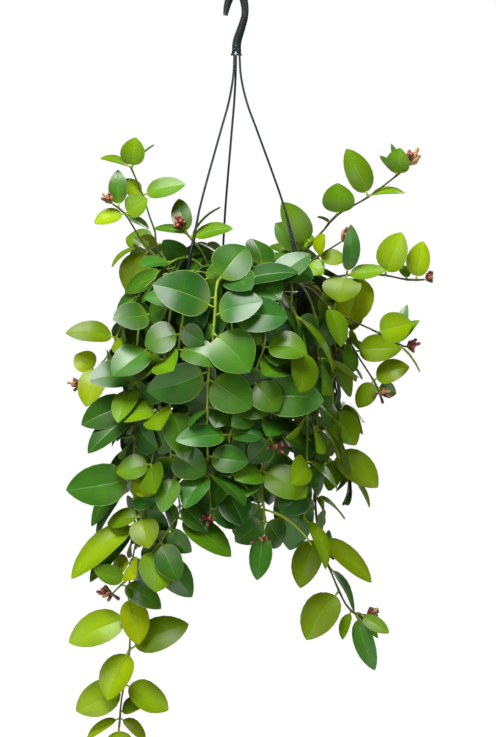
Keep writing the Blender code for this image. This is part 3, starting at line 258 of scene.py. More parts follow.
# A stem's route over the rim, its named leaves and the stretch that is filled by rule. A leaf
# is (place along the route, tip, width, turn): a turn of 0 shows the blade's whole face to the
# front and 90 shows its edge.
Vine = namedtuple("Vine", "name tone buds route leaves fill", defaults=(None,))
Leaf = namedtuple("Leaf", "base tip face width")
SHOOTS = [
    Vine("shoot_tall_left", "mid", 0,
         [(-62, 18, -320), (-89, 15, -291), (-93, 12, -268), (-99, 8, -251), (-107, 4, -226),
          (-120, 0, -195)],
         [(5, (-115, -6, -160), 26, 10), (5, (-155, -8, -184), 20, 50),
          (5, (-94, 10, -168), 16, 80), (4, (-58, -4, -214), 28, 35),
          (4, (-133, 4, -210), 22, 35)]),
    Vine("shoot_low_left", "mid", 4,
         [(-70, -8, -318), (-98, -10, -291), (-110, -12, -275), (-127, -15, -247),
          (-141, -18, -236)],
         [(3.7, (-135, -8, -197), 20, 20), (3, (-162, -20, -258), 24, 35),
          (3, (-101, -26, -230), 26, 25), (3, (-100, -20, -264), 18, 70)]),
    Vine("shoot_back_left", "young", 0,
         [(-66, 34, -320), (-92, 36, -296), (-108, 36, -284)],
         [(2, (-143, 30, -308), 22, 85), (1.5, (-125, 40, -338), 34, 10),
          (1.5, (-122, 46, -276), 28, 20), (0.7, (-62, 66, -286), 32, 40)]),
    Vine("shoot_near_left", "mid", 4,
         [(-30, 2, -318), (-37, -2, -296), (-44, -5, -285), (-52, -8, -275), (-60, -12, -266)],
         [(3.7, (-66, -2, -230), 22, 10), (3, (-4, -12, -264), 26, 50),
          (3, (-18, 6, -239), 14, 80), (3.7, (-104, -24, -260), 24, 62),
          (2.5, (-20, -4, -294), 14, 75)]),
    Vine("crown_left", "old", 0,
         [(-36, -20, -310), (-54, -27, -297), (-74, -38, -302), (-90, -56, -322),
          (-96, -70, -352), (-98, -78, -390), (-97, -82, -425)],
         [(1, (-84, -34, -277), 28, -50), (2, (-109, -56, -308), 32, 60),
          (4.2, (-140, -92, -366), 36, 25), (5.2, (-140, -102, -430), 42, 15),
          (5.6, (-62, -108, -432), 36, 20)]),
    Vine("front_left", "old", 4,
         [(-14, -66, -318), (-19, -92, -318), (-23, -108, -332), (-24, -114, -353),
          (-26, -116, -381), (-31, -116, -424), (-33, -114, -468), (-33, -112, -510),
          (-31, -108, -550), (-29, -106, -588)],
         [(3, (-95, -118, -326), 48, 25), (1.6, (12, -84, -284), 42, 15),
          (4, (15, -132, -425), 50, 12), (5, (-101, -124, -446), 42, 20),
          (5.2, (17, -124, -466), 44, 15), (6, (-53, -120, -487), 20, 50),
          (7.2, (14, -118, -527), 30, 20), (7.8, (-59, -124, -579), 30, 35),
          (7.8, (10, -118, -576), 30, 30), (2.4, (-92, -108, -358), 36, 35),
          (3.4, (30, -106, -345), 40, 30)]),
    Vine("front_middle", "old", 0,
         [(8, -62, -318), (0, -92, -320), (-4, -110, -338), (-6, -114, -364), (0, -108, -420),
          (4, -106, -476), (-8, -110, -496), (-4, -106, -540)],
         [(1.5, (70, -108, -313), 36, 45), (3, (58, -122, -364), 40, 15),
          (6, (-69, -120, -502), 28, 45), (6, (29, -118, -500), 28, 25),
          (7, (-40, -112, -580), 28, 30), (7, (28, -104, -580), 28, 40),
          (2.5, (-50, -106, -385), 40, 20), (3.4, (48, -102, -405), 42, 25),
          (4.4, (-44, -100, -455), 40, 30), (4.6, (46, -100, -470), 40, 30)]),
    Vine("front_right", "old", 4,
         [(30, -58, -318), (36, -88, -322), (38, -106, -342), (34, -112, -375),
          (31, -113, -397), (20, -108, -436), (30, -104, -480), (42, -102, -508)],
         [(4, (80, -120, -404), 38, 20), (4, (0, -104, -366), 26, 45),
          (5, (48, -122, -469), 34, 15), (5.3, (99, -112, -458), 46, 15),
          (1.3, (84, -84, -292), 34, 50)]),
    Vine("low_middle", "mid", 4,
         [(52, -50, -316), (62, -78, -325), (60, -88, -360), (50, -92, -420), (38, -92, -480),
          (28, -94, -537), (31, -93, -581), (31, -93, -600), (28, -93, -612)],
         [(5, (79, -112, -567), 38, 10), (6, (86, -104, -622), 26, 55),
          (7.5, (23, -82, -661), 24, 10)],
         (3, 5)),
    Vine("right_front", "old", 0,
         [(40, -66, -322), (50, -84, -333), (67, -92, -362), (78, -90, -400), (80, -86, -450),
          (80, -84, -500), (79, -84, -560), (76, -82, -600)],
         [(2, (110, -88, -428), 24, 70), (6, (52, -98, -651), 46, 15),
          (5.6, (51, -70, -611), 40, 20), (6.8, (100, -70, -650), 26, 60)],
         (3, 5.4)),
    Vine("left_front", "old", 4,
         [(-78, -22, -320), (-100, -34, -338), (-110, -46, -372), (-114, -56, -420),
          (-114, -64, -460), (-115, -70, -500), (-118, -76, -546), (-113, -80, -585),
          (-108, -80, -615)],
         [(3.3, (-167, -76, -436), 38, 20), (4, (-176, -74, -486), 34, 25),
          (4.2, (-168, -92, -517), 36, 15), (3.6, (-134, -104, -483), 28, 40),
          (4.9, (-148, -100, -507), 34, 10), (6, (-193, -94, -559), 44, 15),
          (6, (-88, -112, -562), 26, 30), (7.4, (-187, -92, -660), 34, 25),
          (7.4, (-166, -106, -664), 24, 20), (5.6, (-165, -48, -602), 30, 45),
          (6, (-160, -62, -617), 34, 20)]),
    Vine("middle_left", "mid", 4,
         [(-40, -74, -322), (-50, -98, -330), (-58, -110, -350), (-66, -112, -400),
          (-74, -108, -450), (-76, -106, -500), (-68, -106, -550), (-64, -105, -582),
          (-72, -104, -596), (-91, -100, -624), (-113, -96, -651), (-130, -93, -666),
          (-140, -91, -676)],
         [(4.3, (-59, -126, -522), 42, 15), (5.8, (-84, -124, -584), 26, 30),
          (7.4, (-6, -112, -634), 40, 12), (9, (-91, -118, -674), 40, 5),
          (9.2, (-50, -100, -680), 34, 20), (10.6, (-166, -100, -646), 24, 20),
          (11, (-85, -106, -693), 26, 25), (2.6, (-104, -108, -395), 40, 30),
          (3, (-20, -104, -420), 40, 30)]),
    Vine("long_trail", "young", 0,
         [(-50, -66, -312), (-66, -88, -324), (-74, -98, -352), (-80, -98, -410),
          (-88, -94, -470), (-96, -92, -530), (-108, -90, -590), (-118, -90, -640),
          (-122, -90, -678), (-121, -88, -740), (-130, -86, -795), (-132, -85, -818),
          (-134, -84, -838)],
         [(8.4, (-190, -92, -732), 38, 10), (8, (-111, -104, -734), 30, 15),
          (9, (-54, -86, -711), 38, 12), (9, (-146, -100, -797), 40, 8),
          (9.7, (-182, -82, -810), 38, 12), (9.65, (-77, -84, -809), 36, 10),
          (10.6, (-102, -92, -800), 26, 20), (11, (-170, -84, -843), 18, 50),
          (11, (-103, -86, -843), 20, 45), (11.3, (-131, -92, -872), 30, 8)],
         (3, 7)),
    Vine("left_edge", "young", 4,
         [(-78, 4, -322), (-106, 4, -334), (-126, 3, -362), (-137, 2, -389), (-146, 2, -408),
          (-162, 0, -426), (-176, -2, -441)],
         [(3, (-195, -6, -383), 28, 20), (3, (-112, -24, -412), 30, 40),
          (5, (-184, 6, -408), 26, 30), (4.6, (-171, -20, -467), 30, 20)]),
    Vine("upper_right", "mid", 4,
         [(62, 10, -318), (79, 8, -289), (100, 5, -265), (114, 3, -249), (150, 0, -228),
          (183, -2, -203), (195, -3, -192)],
         [(5, (186, -14, -172), 26, 5), (5, (176, 6, -167), 12, 60), (5, (163, 4, -181), 12, 40),
          (4, (125, -6, -173), 28, 10), (4, (192, -4, -224), 22, 55),
          (3, (115, -8, -212), 34, 5), (2.6, (92, 0, -250), 12, 80),
          (1.3, (51, -2, -234), 30, 20), (1, (44, 16, -258), 26, 20)]),
    Vine("right_bud", "young", 4,
         [(66, -8, -322), (80, -10, -305), (100, -12, -291), (119, -13, -279)],
         [(1.7, (100, -22, -270), 22, 15), (1.7, (125, -18, -300), 20, 35),
          (1, (99, -22, -316), 22, 30)]),
    Vine("right_long", "young", 4,
         [(60, 2, -322), (76, 0, -327), (90, -6, -327), (108, -12, -320), (125, -16, -317),
          (147, -17, -316), (169, -18, -317), (194, -19, -322), (214, -20, -322)],
         [(4, (170, -26, -312), 24, 45), (4, (130, -22, -259), 20, 10),
          (6, (188, -28, -268), 34, 5), (7.4, (212, -26, -278), 25, 5),
          (7, (186, -8, -304), 14, 40), (4, (118, -32, -348), 42, 10),
          (5, (127, -8, -374), 40, 10)]),
    Vine("right_low", "young", 4,
         [(52, -42, -322), (68, -50, -325), (86, -54, -334), (112, -48, -358),
          (159, -40, -381), (184, -36, -395), (193, -34, -398)],
         [(4.2, (200, -46, -371), 32, 10), (5, (194, -28, -350), 14, 50),
          (5, (208, -38, -368), 18, 15), (5.2, (209, -40, -427), 18, 60),
          (2.6, (118, -70, -398), 28, 50)]),
    Vine("right_drop", "young", 3,
         [(66, 8, -322), (84, 8, -328), (102, 6, -345), (114, 2, -367), (135, -4, -404),
          (156, -8, -437), (162, -10, -450)],
         [(4, (188, -16, -401), 30, 10), (5, (197, -14, -421), 26, 15),
          (5, (138, -14, -468), 22, 15), (5.4, (182, -4, -452), 18, 20)],
         (1.6, 3.6)),
    Vine("right_edge", "young", 0,
         [(74, 26, -320), (94, 24, -334), (104, 18, -370), (108, 12, -420), (110, 6, -470),
          (112, 2, -516), (124, -2, -536), (132, -4, -547)],
         [(5, (161, -12, -559), 34, 15), (7, (152, -2, -582), 18, 50),
          (5.5, (104, -14, -562), 24, 20), (4, (136, -10, -511), 32, 15),
          (4.2, (131, -34, -544), 22, 35)],
         (2, 5)),
    Vine("right_trail", "mid", 4,
         [(60, -54, -322), (75, -64, -330), (88, -66, -360), (92, -66, -410), (87, -66, -470),
          (88, -66, -540), (93, -64, -612), (108, -62, -655), (124, -60, -690),
          (136, -58, -701), (147, -57, -702)],
         [(6, (153, -72, -665), 28, 25), (6, (72, -74, -671), 32, 10),
          (7.6, (79, -72, -730), 40, 8), (6.8, (134, -50, -701), 26, 50),
          (8.5, (161, -50, -729), 18, 40), (9, (157, -62, -765), 22, 10),
          (8.6, (120, -64, -730), 14, 35), (9.6, (173, -56, -722), 16, 30)],
         (3, 5.4)),
    Vine("shoot_back_right", "mid", 0,
         [(28, 58, -320), (40, 82, -308), (52, 106, -298), (64, 124, -296)],
         [(3, (86, 150, -272), 26, 40), (3, (40, 150, -284), 22, 40)],
         (0.8, 2.6)),
    Vine("shoot_rear", "mid", 0,
         [(-36, 54, -320), (-54, 84, -302), (-72, 112, -286), (-94, 134, -282)],
         [(3, (-128, 152, -276), 28, 20), (3, (-92, 168, -300), 22, 40)],
         (0.8, 2.6)),
]

# Trailing stems placed by rule: azimuth, reach from the pot's axis, lowest point, age
SKIRT = ((38, 112, -520, "old"), (50, 128, -460, "mid"), (71, 106, -540, "old"),
         (81, 124, -480, "old"), (91, 118, -560, "mid"), (110, 106, -480, "old"),
         (135, 124, -530, "mid"), (148, 108, -470, "old"), (160, 122, -530, "old"),
         (170, 106, -550, "old"), (187, 112, -500, "mid"), (14, 118, -470, "old"),
         (-64, 96, -480, "old"), (-79, 93, -540, "old"), (-96, 93, -560, "old"),
         (-124, 94, -520, "old"), (-148, 98, -470, "old"))


def outward(point):
    """The level direction from the pot's axis to a point."""
    level = Vector((point.x, point.y, 0))
    return level.normalized() if level.length > 1e-6 else Vector((0, -1, 0))


def smooth_point(before, here, there, after, t):
    """The point at a share of the way from here to there, on a smooth line through all four."""
    return (here * 2 + (there - before) * t + (before * 2 - here * 5 + there * 4 - after) * t * t
            + (here * 3 - before - there * 3 + after) * t * t * t) / 2


def square_to(face, along):
    """The part of a direction that is square to another one."""
    return (face - along * face.dot(along)).normalized()


class Stem:
    """A stem's route and its smoothed line, with places counted in points of the route."""

    def __init__(self, route, root):
        self.root = root
        surface = (RIM_Z - SOIL_DOWN) * MM
        ground = Vector((root.x, root.y, surface))
        first = Vector(route[0]) * MM
        shoulder = ground.lerp(first, 0.55)
        shoulder.z = max(shoulder.z, first.z - 6 * MM)
        buried = ground - Vector((0, 0, HOLE_DEEP * MM))
        start = ground + Vector((0, 0, 6 * MM))
        self.route = [buried, start, shoulder] + [Vector(point) * MM for point in route]
        self.lead = 3
        self.places, self.points = self.sampled()
        last = len(self.points) - 1
        narrowing = STEM_TIP_RADIUS - STEM_ROOT_RADIUS
        self.radii = [(STEM_ROOT_RADIUS + narrowing * (i / last)) * MM for i in range(last + 1)]

    def smooth(self, place):
        """The point at a place on the curve through the route."""
        i = min(int(place), len(self.route) - 2)
        here, there = self.route[i], self.route[i + 1]
        before = self.route[i - 1] if i else here * 2 - there
        after = self.route[i + 2] if i + 2 < len(self.route) else there * 2 - here
        return smooth_point(before, here, there, after, place - i)

    def length(self, first, last):
        """How far it is along the route from one of its points to another."""
        return sum((self.route[i + 1] - self.route[i]).length for i in range(first, last))

    def sampled(self):
        places = [0.0, 1.0]
        for i in range(1, len(self.route) - 1):
            span = (self.route[i + 1] - self.route[i]).length
            steps = max(1, round(span / (STEM_STEP * MM)))
            places += [i + (step + 1) / steps for step in range(steps)]
        return places, [self.smooth(place) for place in places]

    def at(self, place):
        """The point and the direction on the stem at a place of the given route."""
        place = min(max(place + self.lead, 1.0), self.places[-1])
        for i in range(len(self.places) - 1):
            if place <= self.places[i + 1]:
                break
        span = self.places[i + 1] - self.places[i]
        share = (place - self.places[i]) / span
        chord = self.points[i + 1] - self.points[i]
        if i + 2 == len(self.places):
            share = min(share, 1 - 1.3 * MM / chord.length)
        return self.points[i] + chord * share, chord.normalized()

    def end(self):
        return self.points[-1], (self.points[-1] - self.points[-2]).normalized()


def tube_shell(points, radii, grow):
    """Points and triangles of a four-sided sleeve round a stem, to test for crossings."""
    shell, faces = [], []
    for i, point in enumerate(points):
        before, after = points[max(i - 1, 0)], points[min(i + 1, len(points) - 1)]
        along = (after - before).normalized()
        side = along.orthogonal().normalized() if i == 0 else (side - along * side.dot(along))
        side.normalize()
        other = along.cross(side)
        radius = radii[i] + grow
        shell += [point + side * radius, point + other * radius, point - side * radius,
                  point - other * radius]
    for i in range(len(points) - 1):
        for j in range(4):
            a, b = 4 * i + j, 4 * i + (j + 1) % 4
            faces += [(a, b, b + 4), (a, b + 4, a + 4)]
    return shell, faces


def leaf_solid(leaf, grow=0.0):
    """Points and triangles of a leaf: a short stalk from inside the stem, then its blade.

    The blade is folded along its rib and arched, and both faces are split alike.
    """
    along = (leaf.tip - leaf.base).normalized()
    length = (leaf.tip - leaf.base).length + grow
    side = along.cross(leaf.face).normalized()
    up = side.cross(along)
    half = LEAF_THICKNESS * MM / 2 + grow
    root = LEAF_ROOT_RADIUS * MM + grow
    points = []
    for distance in (0, STALK * MM):
        centre = leaf.base + along * distance
        points += [centre + up * root, centre - up * root / 2 - side * root,
                   centre - up * root / 2 + side * root]
    faces = [(0, 2, 1)]
    for i in range(3):
        j = (i + 1) % 3
        faces += [(i, j, j + 3), (i, j + 3, i + 3)]
    stations = LARGE_STATIONS if leaf.width > LARGE_LEAF * MM else SMALL_STATIONS
    for share, spread in stations:
        wide = leaf.width / 2 * spread + grow
        rise = LEAF_ARCH * length * 4 * share * (1 - share)
        middle = leaf.base + along * length * share + up * rise
        lift = up * wide * LEAF_FOLD * 2
        points += [middle - side * wide + lift, middle + up * half, middle + side * wide + lift,
                   middle - up * half]
    points.append(leaf.base + along * length)
    left, top, right, under = 6, 7, 8, 9
    faces += [(4, left, 3), (3, left, top), (3, top, right), (3, right, 5),
              (4, under, left), (4, 5, under), (5, right, under)]
    for i in range(len(stations) - 1):
        a = 6 + 4 * i
        b = a + 4
        faces += [(a, b, a + 1), (a + 1, b, b + 1), (a + 1, b + 1, a + 2), (a + 2, b + 1, b + 2),
                  (a, a + 3, b), (a + 3, b + 3, b), (a + 3, a + 2, b + 3), (a + 2, b + 2, b + 3)]
    a = 6 + 4 * (len(stations) - 1)
    tip = len(points) - 1
    faces += [(a, tip, a + 1), (a + 1, tip, a + 2), (a + 2, tip, a + 3), (a + 3, tip, a)]
    return points, faces


class Taken:
    """The space that placed pieces hold, kept as one search tree for each of them."""

    def __init__(self):
        self.shapes = []

    def add(self, owner, points, faces):
        self.shapes.append((owner, BVHTree.FromPolygons(points, faces), bounds_of(points)))

    def crossed(self, points, faces, owner=None):
        """The owners of the pieces that a shape crosses, apart from its own."""
        tree = BVHTree.FromPolygons(points, faces)
        low, high = bounds_of(points)
        found = []
        for other, held, (other_low, other_high) in self.shapes:
            if other == owner or apart(low, high, other_low, other_high):
                continue
            if tree.overlap(held):
                found.append(other)
        return found


def bounds_of(points):
    low = Vector([min(point[i] for point in points) for i in range(3)])
    high = Vector([max(point[i] for point in points) for i in range(3)])
    return low, high


def apart(low, high, other_low, other_high):
    return any(low[i] > other_high[i] or high[i] < other_low[i] for i in range(3))


def facing(along, turn, front):
    """The normal of a blade that grows along a direction, turned from its front view."""
    flat = front - along * front.dot(along)
    if flat.length < 0.2:
        flat = Vector((0, 0, 1)) - along * along.z
    flat.normalize()
    raised = along.cross(flat)
    if raised.z < 0:
        raised.negate()
    angle = math.radians(turn)
    return flat * math.cos(angle) + raised * math.sin(angle)


def settle(choices, owner, taken, own, crossing):
    """The first leaf that clears every other piece and its own stem's blades.

    Where crossing is allowed, a leaf that clears only the other pieces is the last resort.
    """
    spare = None
    for leaf in choices:
        points, faces = leaf_solid(leaf, GAP)
        if taken.crossed(points, faces, owner):
            continue
        if not own.crossed(points, faces[ROOT_FACES:]):
            return leaf
        if crossing:
            spare = spare or leaf
    return spare


def named_leaf_choices(stem, place, tip, width, turn, draw):
    """A named leaf as drawn, then with its tip nearer or further, turned and a little smaller."""
    base, _ = stem.at(place)
    front = Vector((0, -1, 0.12))
    for size in NAMED_SIZES:
        for depth in NAMED_DEPTHS:
            for extra in NAMED_TURNS:
                shift = Vector((0, depth * MM, 0))
                if size < 1:
                    shift += Vector((draw.uniform(-NAMED_STRAY, NAMED_STRAY), 0,
                                     draw.uniform(-NAMED_STRAY, NAMED_STRAY))) * MM
                end = base + (Vector(tip) * MM + shift - base) * size
                along = (end - base).normalized()
                yield Leaf(base, end, facing(along, turn + extra, front), width * MM * size)


def rule_leaf_choices(stem, place, hand, length, draw):
    """Leaves of a pair by rule: out to one side of the stem, hanging over its outer side."""
    base, along = stem.at(place)
    away = outward(base)
    out = square_to(away * 0.8 + UP * 0.55, along)
    side = along.cross(out) * hand
    droop = RULE_DROOP * (1 - abs(along.z))
    for attempt in range(RULE_TRIES):
        ease = attempt / RULE_TRIES
        forward = draw.uniform(*RULE_FORWARD)
        aside = draw.uniform(*RULE_ASIDE) - 0.3 * ease
        lift = draw.uniform(*RULE_LIFT) + 0.6 * ease
        heading = along * forward + side * aside + out * lift - UP * droop
        heading = heading.normalized()
        reach = length * (1 - RULE_SHORTER * ease) * MM
        face = away + UP * 0.7 + side * draw.uniform(-0.3, 0.3)
        yield Leaf(base, base + heading * reach, square_to(face, heading),
                   reach * draw.uniform(*RULE_WIDTH))


def crown_leaf_choices(stem, draw):
    """Leaves that rise from a stem above the soil and cover the pot's mouth."""
    base, _ = stem.at(CROWN_PLACE)
    away = outward(base)
    aside = away.cross(UP)
    for attempt in range(RULE_TRIES):
        ease = attempt / RULE_TRIES
        heading = (UP * draw.uniform(0.3, 0.9) - away * draw.uniform(0.2, 0.9)
                   + aside * draw.uniform(-0.8, 0.8)).normalized()
        reach = draw.uniform(*CROWN_LENGTH) * (1 - RULE_SHORTER * ease) * MM
        yield Leaf(base, base + heading * reach, square_to(UP * 0.8 + away * 0.4, heading),
                   reach * draw.uniform(*RULE_WIDTH))


def skirt_vine(index, azimuth, reach, lowest, tone):
    """A stem by rule: over the rim at an azimuth, then down at its reach with a slight sway."""
    draw = random.Random(SEED + TRAIL_DRAW + index)
    height = draw.uniform(*TRAIL_TOP)
    steps = [(TRAIL_RADII[0], height), (TRAIL_RADII[1], height - 4), (reach, height - 24)]
    fall = height - 60
    while fall > lowest:
        steps.append((reach + draw.uniform(-3, 5), fall))
        fall -= TRAIL_STEP
    steps.append((reach + 2, lowest))
    route = []
    for i, (radius, z) in enumerate(steps):
        sway = draw.uniform(-TRAIL_SWAY, TRAIL_SWAY) if i > 2 else 0
        angle = math.radians(azimuth + sway)
        route.append((radius * math.cos(angle), radius * math.sin(angle), z))
    name = "trail_%02d" % (index + 1)
    return Vine(name, tone, 0, route, [], (0.6, len(route) - 1))


def stem_choices(one, index, roots):
    """Stems of a vine with other roots and, for a vine by rule, turned about the pot's axis."""
    rings = ROOT_RINGS[index % 4:] + ROOT_RINGS[:index % 4]
    for shift in RULE_SHIFTS if not one.leaves else (0,):
        turn = Matrix.Rotation(math.radians(shift), 3, "Z")
        route = [turn @ Vector(point) for point in one.route]
        angle = math.atan2(route[0].y, route[0].x)
        for swing in range(ROOT_TRIES):
            swung = angle + ROOT_SWING * (swing // 2) * (1 if swing % 2 else -1)
            root = Vector((math.cos(swung), math.sin(swung), 0)) * rings[swing % 4] * MM
            if all((root - other).length > ROOT_APART * MM for other in roots):
                yield Stem(route, root)


def rooted(vines, taken):
    """Each vine's stem, rooted on the side that it leaves the pot by, clear of the others."""
    roots, stems = [], []
    for index, one in enumerate(vines):
        for stem in stem_choices(one, index, roots):
            shell, faces = tube_shell(stem.points, stem.radii, GAP)
            if not taken.crossed(shell, faces, one.name):
                break
        roots.append(stem.root)
        stems.append(stem)
        taken.add(one.name, shell, faces)
    return stems


def bud_cluster(stem, count, draw):
    """The middle of a cluster that sits on a stem's end, and the tips of its plain buds."""
    end, along = stem.end()
    centre = end + along * (BUD_BOSS * MM + 1.2 * GAP)
    start = along.orthogonal().normalized()
    tips = []
    for i in range(count):
        turn = Matrix.Rotation(math.tau * i / max(count - 1, 1) + draw.uniform(0, 0.5), 3, along)
        lean = 0.12 if i == count - 1 else draw.uniform(0.75, 1.0)
        heading = (along + turn @ start * lean).normalized()
        tips.append(centre + heading * (BUD_LENGTH * draw.uniform(0.85, 1.1) * MM))
    return centre, tips


def take_up(leaf, owner, taken, own):
    """Marks a leaf's space as taken, and its blade's also for its own stem's leaves."""
    points, faces = leaf_solid(leaf)
    taken.add(owner, points, faces)
    own.add("blade", points, faces[ROOT_FACES:])


def place_leaves(vines, stems, taken):
    """The leaves of every vine: first the named ones, in turn, then those by rule."""
    grown = {one.name: [] for one in vines}
    held = {one.name: Taken() for one in vines}

    def grow(one, choices, crossing=False):
        leaf = settle(choices, one.name, taken, held[one.name], crossing)
        if leaf:
            grown[one.name].append(leaf)
            take_up(leaf, one.name, taken, held[one.name])

    draw = random.Random(SEED)
    for rank in range(max(len(one.leaves) for one in vines)):
        for one, stem in zip(vines, stems):
            if rank < len(one.leaves):
                place, tip, width, turn = one.leaves[rank]
                grow(one, named_leaf_choices(stem, place, tip, width, turn, draw), crossing=True)
    for index, (one, stem) in enumerate(zip(vines, stems)):
        draw = random.Random(SEED + LEAF_DRAW + index)
        if index % 2:
            grow(one, crown_leaf_choices(stem, draw))
        if one.fill is None:
            continue
        first, last = one.fill
        length = stem.length(stem.lead + int(first), stem.lead + int(last))
        count = max(1, round(length / (PAIR_SPACING * MM)))
        for i in range(count + 1):
            place = first + (last - first) * i / count
            size = LEAF_LENGTHS[one.tone] - LEAF_TAPER * i / count
            for hand in (1, -1):
                grow(one, rule_leaf_choices(stem, place, hand, size, draw))
    return grown


def socket_value(node, inputs):
    """Links or sets each named input of a node."""
    tree = node.id_data
    for name, value in inputs.items():
        if isinstance(value, bpy.types.NodeSocket):
            tree.links.new(value, node.inputs[name])
        else:
            node.inputs[name].default_value = value


def add(tree, kind, inputs=None, **settings):
    """A shader node with its settings and inputs."""
    node = tree.nodes.new(kind)
    for name, value in settings.items():
        setattr(node, name, value)
    socket_value(node, inputs or {})
    return node


def tree_of(*values):
    """The node tree of the first value that comes from a node."""
    return next(value.id_data for value in values if isinstance(value, bpy.types.NodeSocket))


def maths(operation, a, b=0.0, clamp=False):
    return add(tree_of(a, b), "ShaderNodeMath", {0: a, 1: b}, operation=operation,
               use_clamp=clamp).outputs[0]


def times(a, b):
    return maths("MULTIPLY", a, b)


def plus(a, b):
    return maths("ADD", a, b)


def minus(a, b, clamp=False):
    return maths("SUBTRACT", a, b, clamp)


def between(value, low, high, to_low=0.0, to_high=1.0):
    """The value eased from one range to another."""
    return add(tree_of(value), "ShaderNodeMapRange",
               {0: value, 1: low, 2: high, 3: to_low, 4: to_high},
               interpolation_type="SMOOTHSTEP").outputs[0]


def blend(factor, a, b, mode="MIX"):
    return add(tree_of(factor, a, b), "ShaderNodeMix", {0: factor, 6: a, 7: b},
               data_type="RGBA", blend_type=mode).outputs[2]


def dimmed(colour, amount):
    """The colour made darker or lighter by a grey amount."""
    grey = add(tree_of(amount), "ShaderNodeCombineColor",
               {0: amount, 1: amount, 2: amount}).outputs[0]
    return blend(1.0, colour, grey, "MULTIPLY")


def noise(place, scale, detail=3.0, roughness=0.55):
    return add(tree_of(place), "ShaderNodeTexNoise",
               {"Vector": place, "Scale": scale, "Detail": detail, "Roughness": roughness}
               ).outputs["Fac"]


def object_place(tree):
    return add(tree, "ShaderNodeTexCoord").outputs["Object"]


def bumps(height, strength, distance):
    return add(tree_of(height), "ShaderNodeBump", {"Height": height, "Strength": strength,
                                                   "Distance": distance}).outputs[0]


def new_material(name):
    made = bpy.data.materials.new(name)
    made.use_nodes = True
    tree = made.node_tree
    return made, tree, tree.nodes["Principled BSDF"]


def ramp(factor, stops):
    node = add(tree_of(factor), "ShaderNodeValToRGB", {0: factor})
    line = node.color_ramp
    while len(line.elements) < len(stops):
        line.elements.new(0.5)
    for element, (place, colour) in zip(line.elements, stops):
        element.position = place
        element.color = (*colour, 1)
    return node.outputs[0]


def leaf_lines(tree):
    """Place across and along a blade, its midrib and its side veins, from its own UV map."""
    uv = add(tree, "ShaderNodeUVMap", uv_map="blade").outputs[0]
    parts = add(tree, "ShaderNodeSeparateXYZ", {0: uv})
    across = times(maths("ABSOLUTE", minus(parts.outputs[0], 0.5)), 2.0)
    along = parts.outputs[1]
    rib = between(across, 0.040, 0.012)
    slope = minus(times(along, 5.0), times(maths("POWER", across, 0.8), 1.6))
    ripple = maths("ABSOLUTE", maths("SINE", times(slope, math.pi)))
    veins = times(between(ripple, 0.36, 0.0), between(across, 0.92, 0.5))
    return across, along, rib, veins


def leaf_age(tree):
    """The leaf's age, from 0 for old to 1 for young, its own random shade, and its wear."""
    tint = add(tree, "ShaderNodeAttribute", attribute_name="tint")
    parts = add(tree, "ShaderNodeSeparateColor", {0: tint.outputs["Color"]})
    return parts.outputs[0], parts.outputs[1], parts.outputs[2]


def leaf_face():
    """The glossy upper side: deep green when old, yellow-green when young, with painted light and
    shade.
    """
    made, tree, shader = new_material("leaf face")
    across, along, rib, veins = leaf_lines(tree)
    age, shade, wear = leaf_age(tree)
    place = object_place(tree)
    # Deep green for old leaves to yellow-green for young ones; the young end is also made
    # brighter as painted light, standing in for light shining through young leaves
    body = ramp(age, ((0.0, (0.013, 0.078, 0.005)), (0.38, (0.042, 0.122, 0.002)),
                      (0.70, (0.095, 0.175, 0.001)), (1.0, (0.205, 0.268, 0.001))))
    blotch = noise(place, 48.0, 4.0)
    grain = noise(place, 420.0, 2.0)
    body = blend(between(blotch, 0.42, 0.78, 0.0, 0.30), body, (0.070, 0.150, 0.004, 1))
    # Painted light and shade: every blade is made lighter along its middle and darker towards its
    # margins, as light falls on a curved leaf
    body = dimmed(body, between(across, 0.15, 0.95, 1.10, 0.86))
    dim = times(plus(times(shade, 0.60), 0.68), between(grain, 0.25, 0.75, 0.95, 1.05))
    body = dimmed(body, dim)
    fresh = (0.110, 0.190, 0.006, 1)
    body = blend(between(along, 0.26, 0.0, 0.0, 0.45), body, fresh)
    body = blend(times(veins, 0.03), body, fresh)
    body = blend(times(rib, between(along, 1.0, 0.4, 0.10, 0.50)), body, (0.130, 0.230, 0.050, 1))
    margin = times(between(across, 0.945, 0.99), between(age, 0.75, 0.35, 0.15, 0.60))
    body = blend(margin, body, (0.170, 0.290, 0.070, 1))
    specks = add(tree, "ShaderNodeTexVoronoi", {"Vector": place, "Scale": 240.0})
    spot = times(between(specks.outputs["Distance"], 0.20, 0.12),
                 between(noise(place, 60.0), 0.58, 0.66))
    body = blend(times(spot, times(wear, 0.35)), body, (0.012, 0.016, 0.006, 1))
    drops = add(tree, "ShaderNodeTexVoronoi", {"Vector": place, "Scale": 130.0})
    chance = add(tree, "ShaderNodeSeparateColor", {0: drops.outputs["Color"]}).outputs[0]
    drop = times(between(drops.outputs["Distance"], 0.13, 0.06), between(chance, 0.92, 0.94))
    drop = times(drop, between(wear, 0.68, 0.72))
    height = minus(times(blotch, 0.6), plus(times(rib, 0.7), times(veins, 0.10)))
    height = plus(height, times(drop, 0.8))
    rough = minus(plus(times(blotch, 0.18), 0.24), times(drop, 0.25), clamp=True)
    socket_value(shader, {"Base Color": body, "Roughness": rough,
                          "Specular IOR Level": between(age, 0.25, 0.75, 0.32, 0.12),
                          "Normal": bumps(height, 0.30, 0.0006)})
    return made


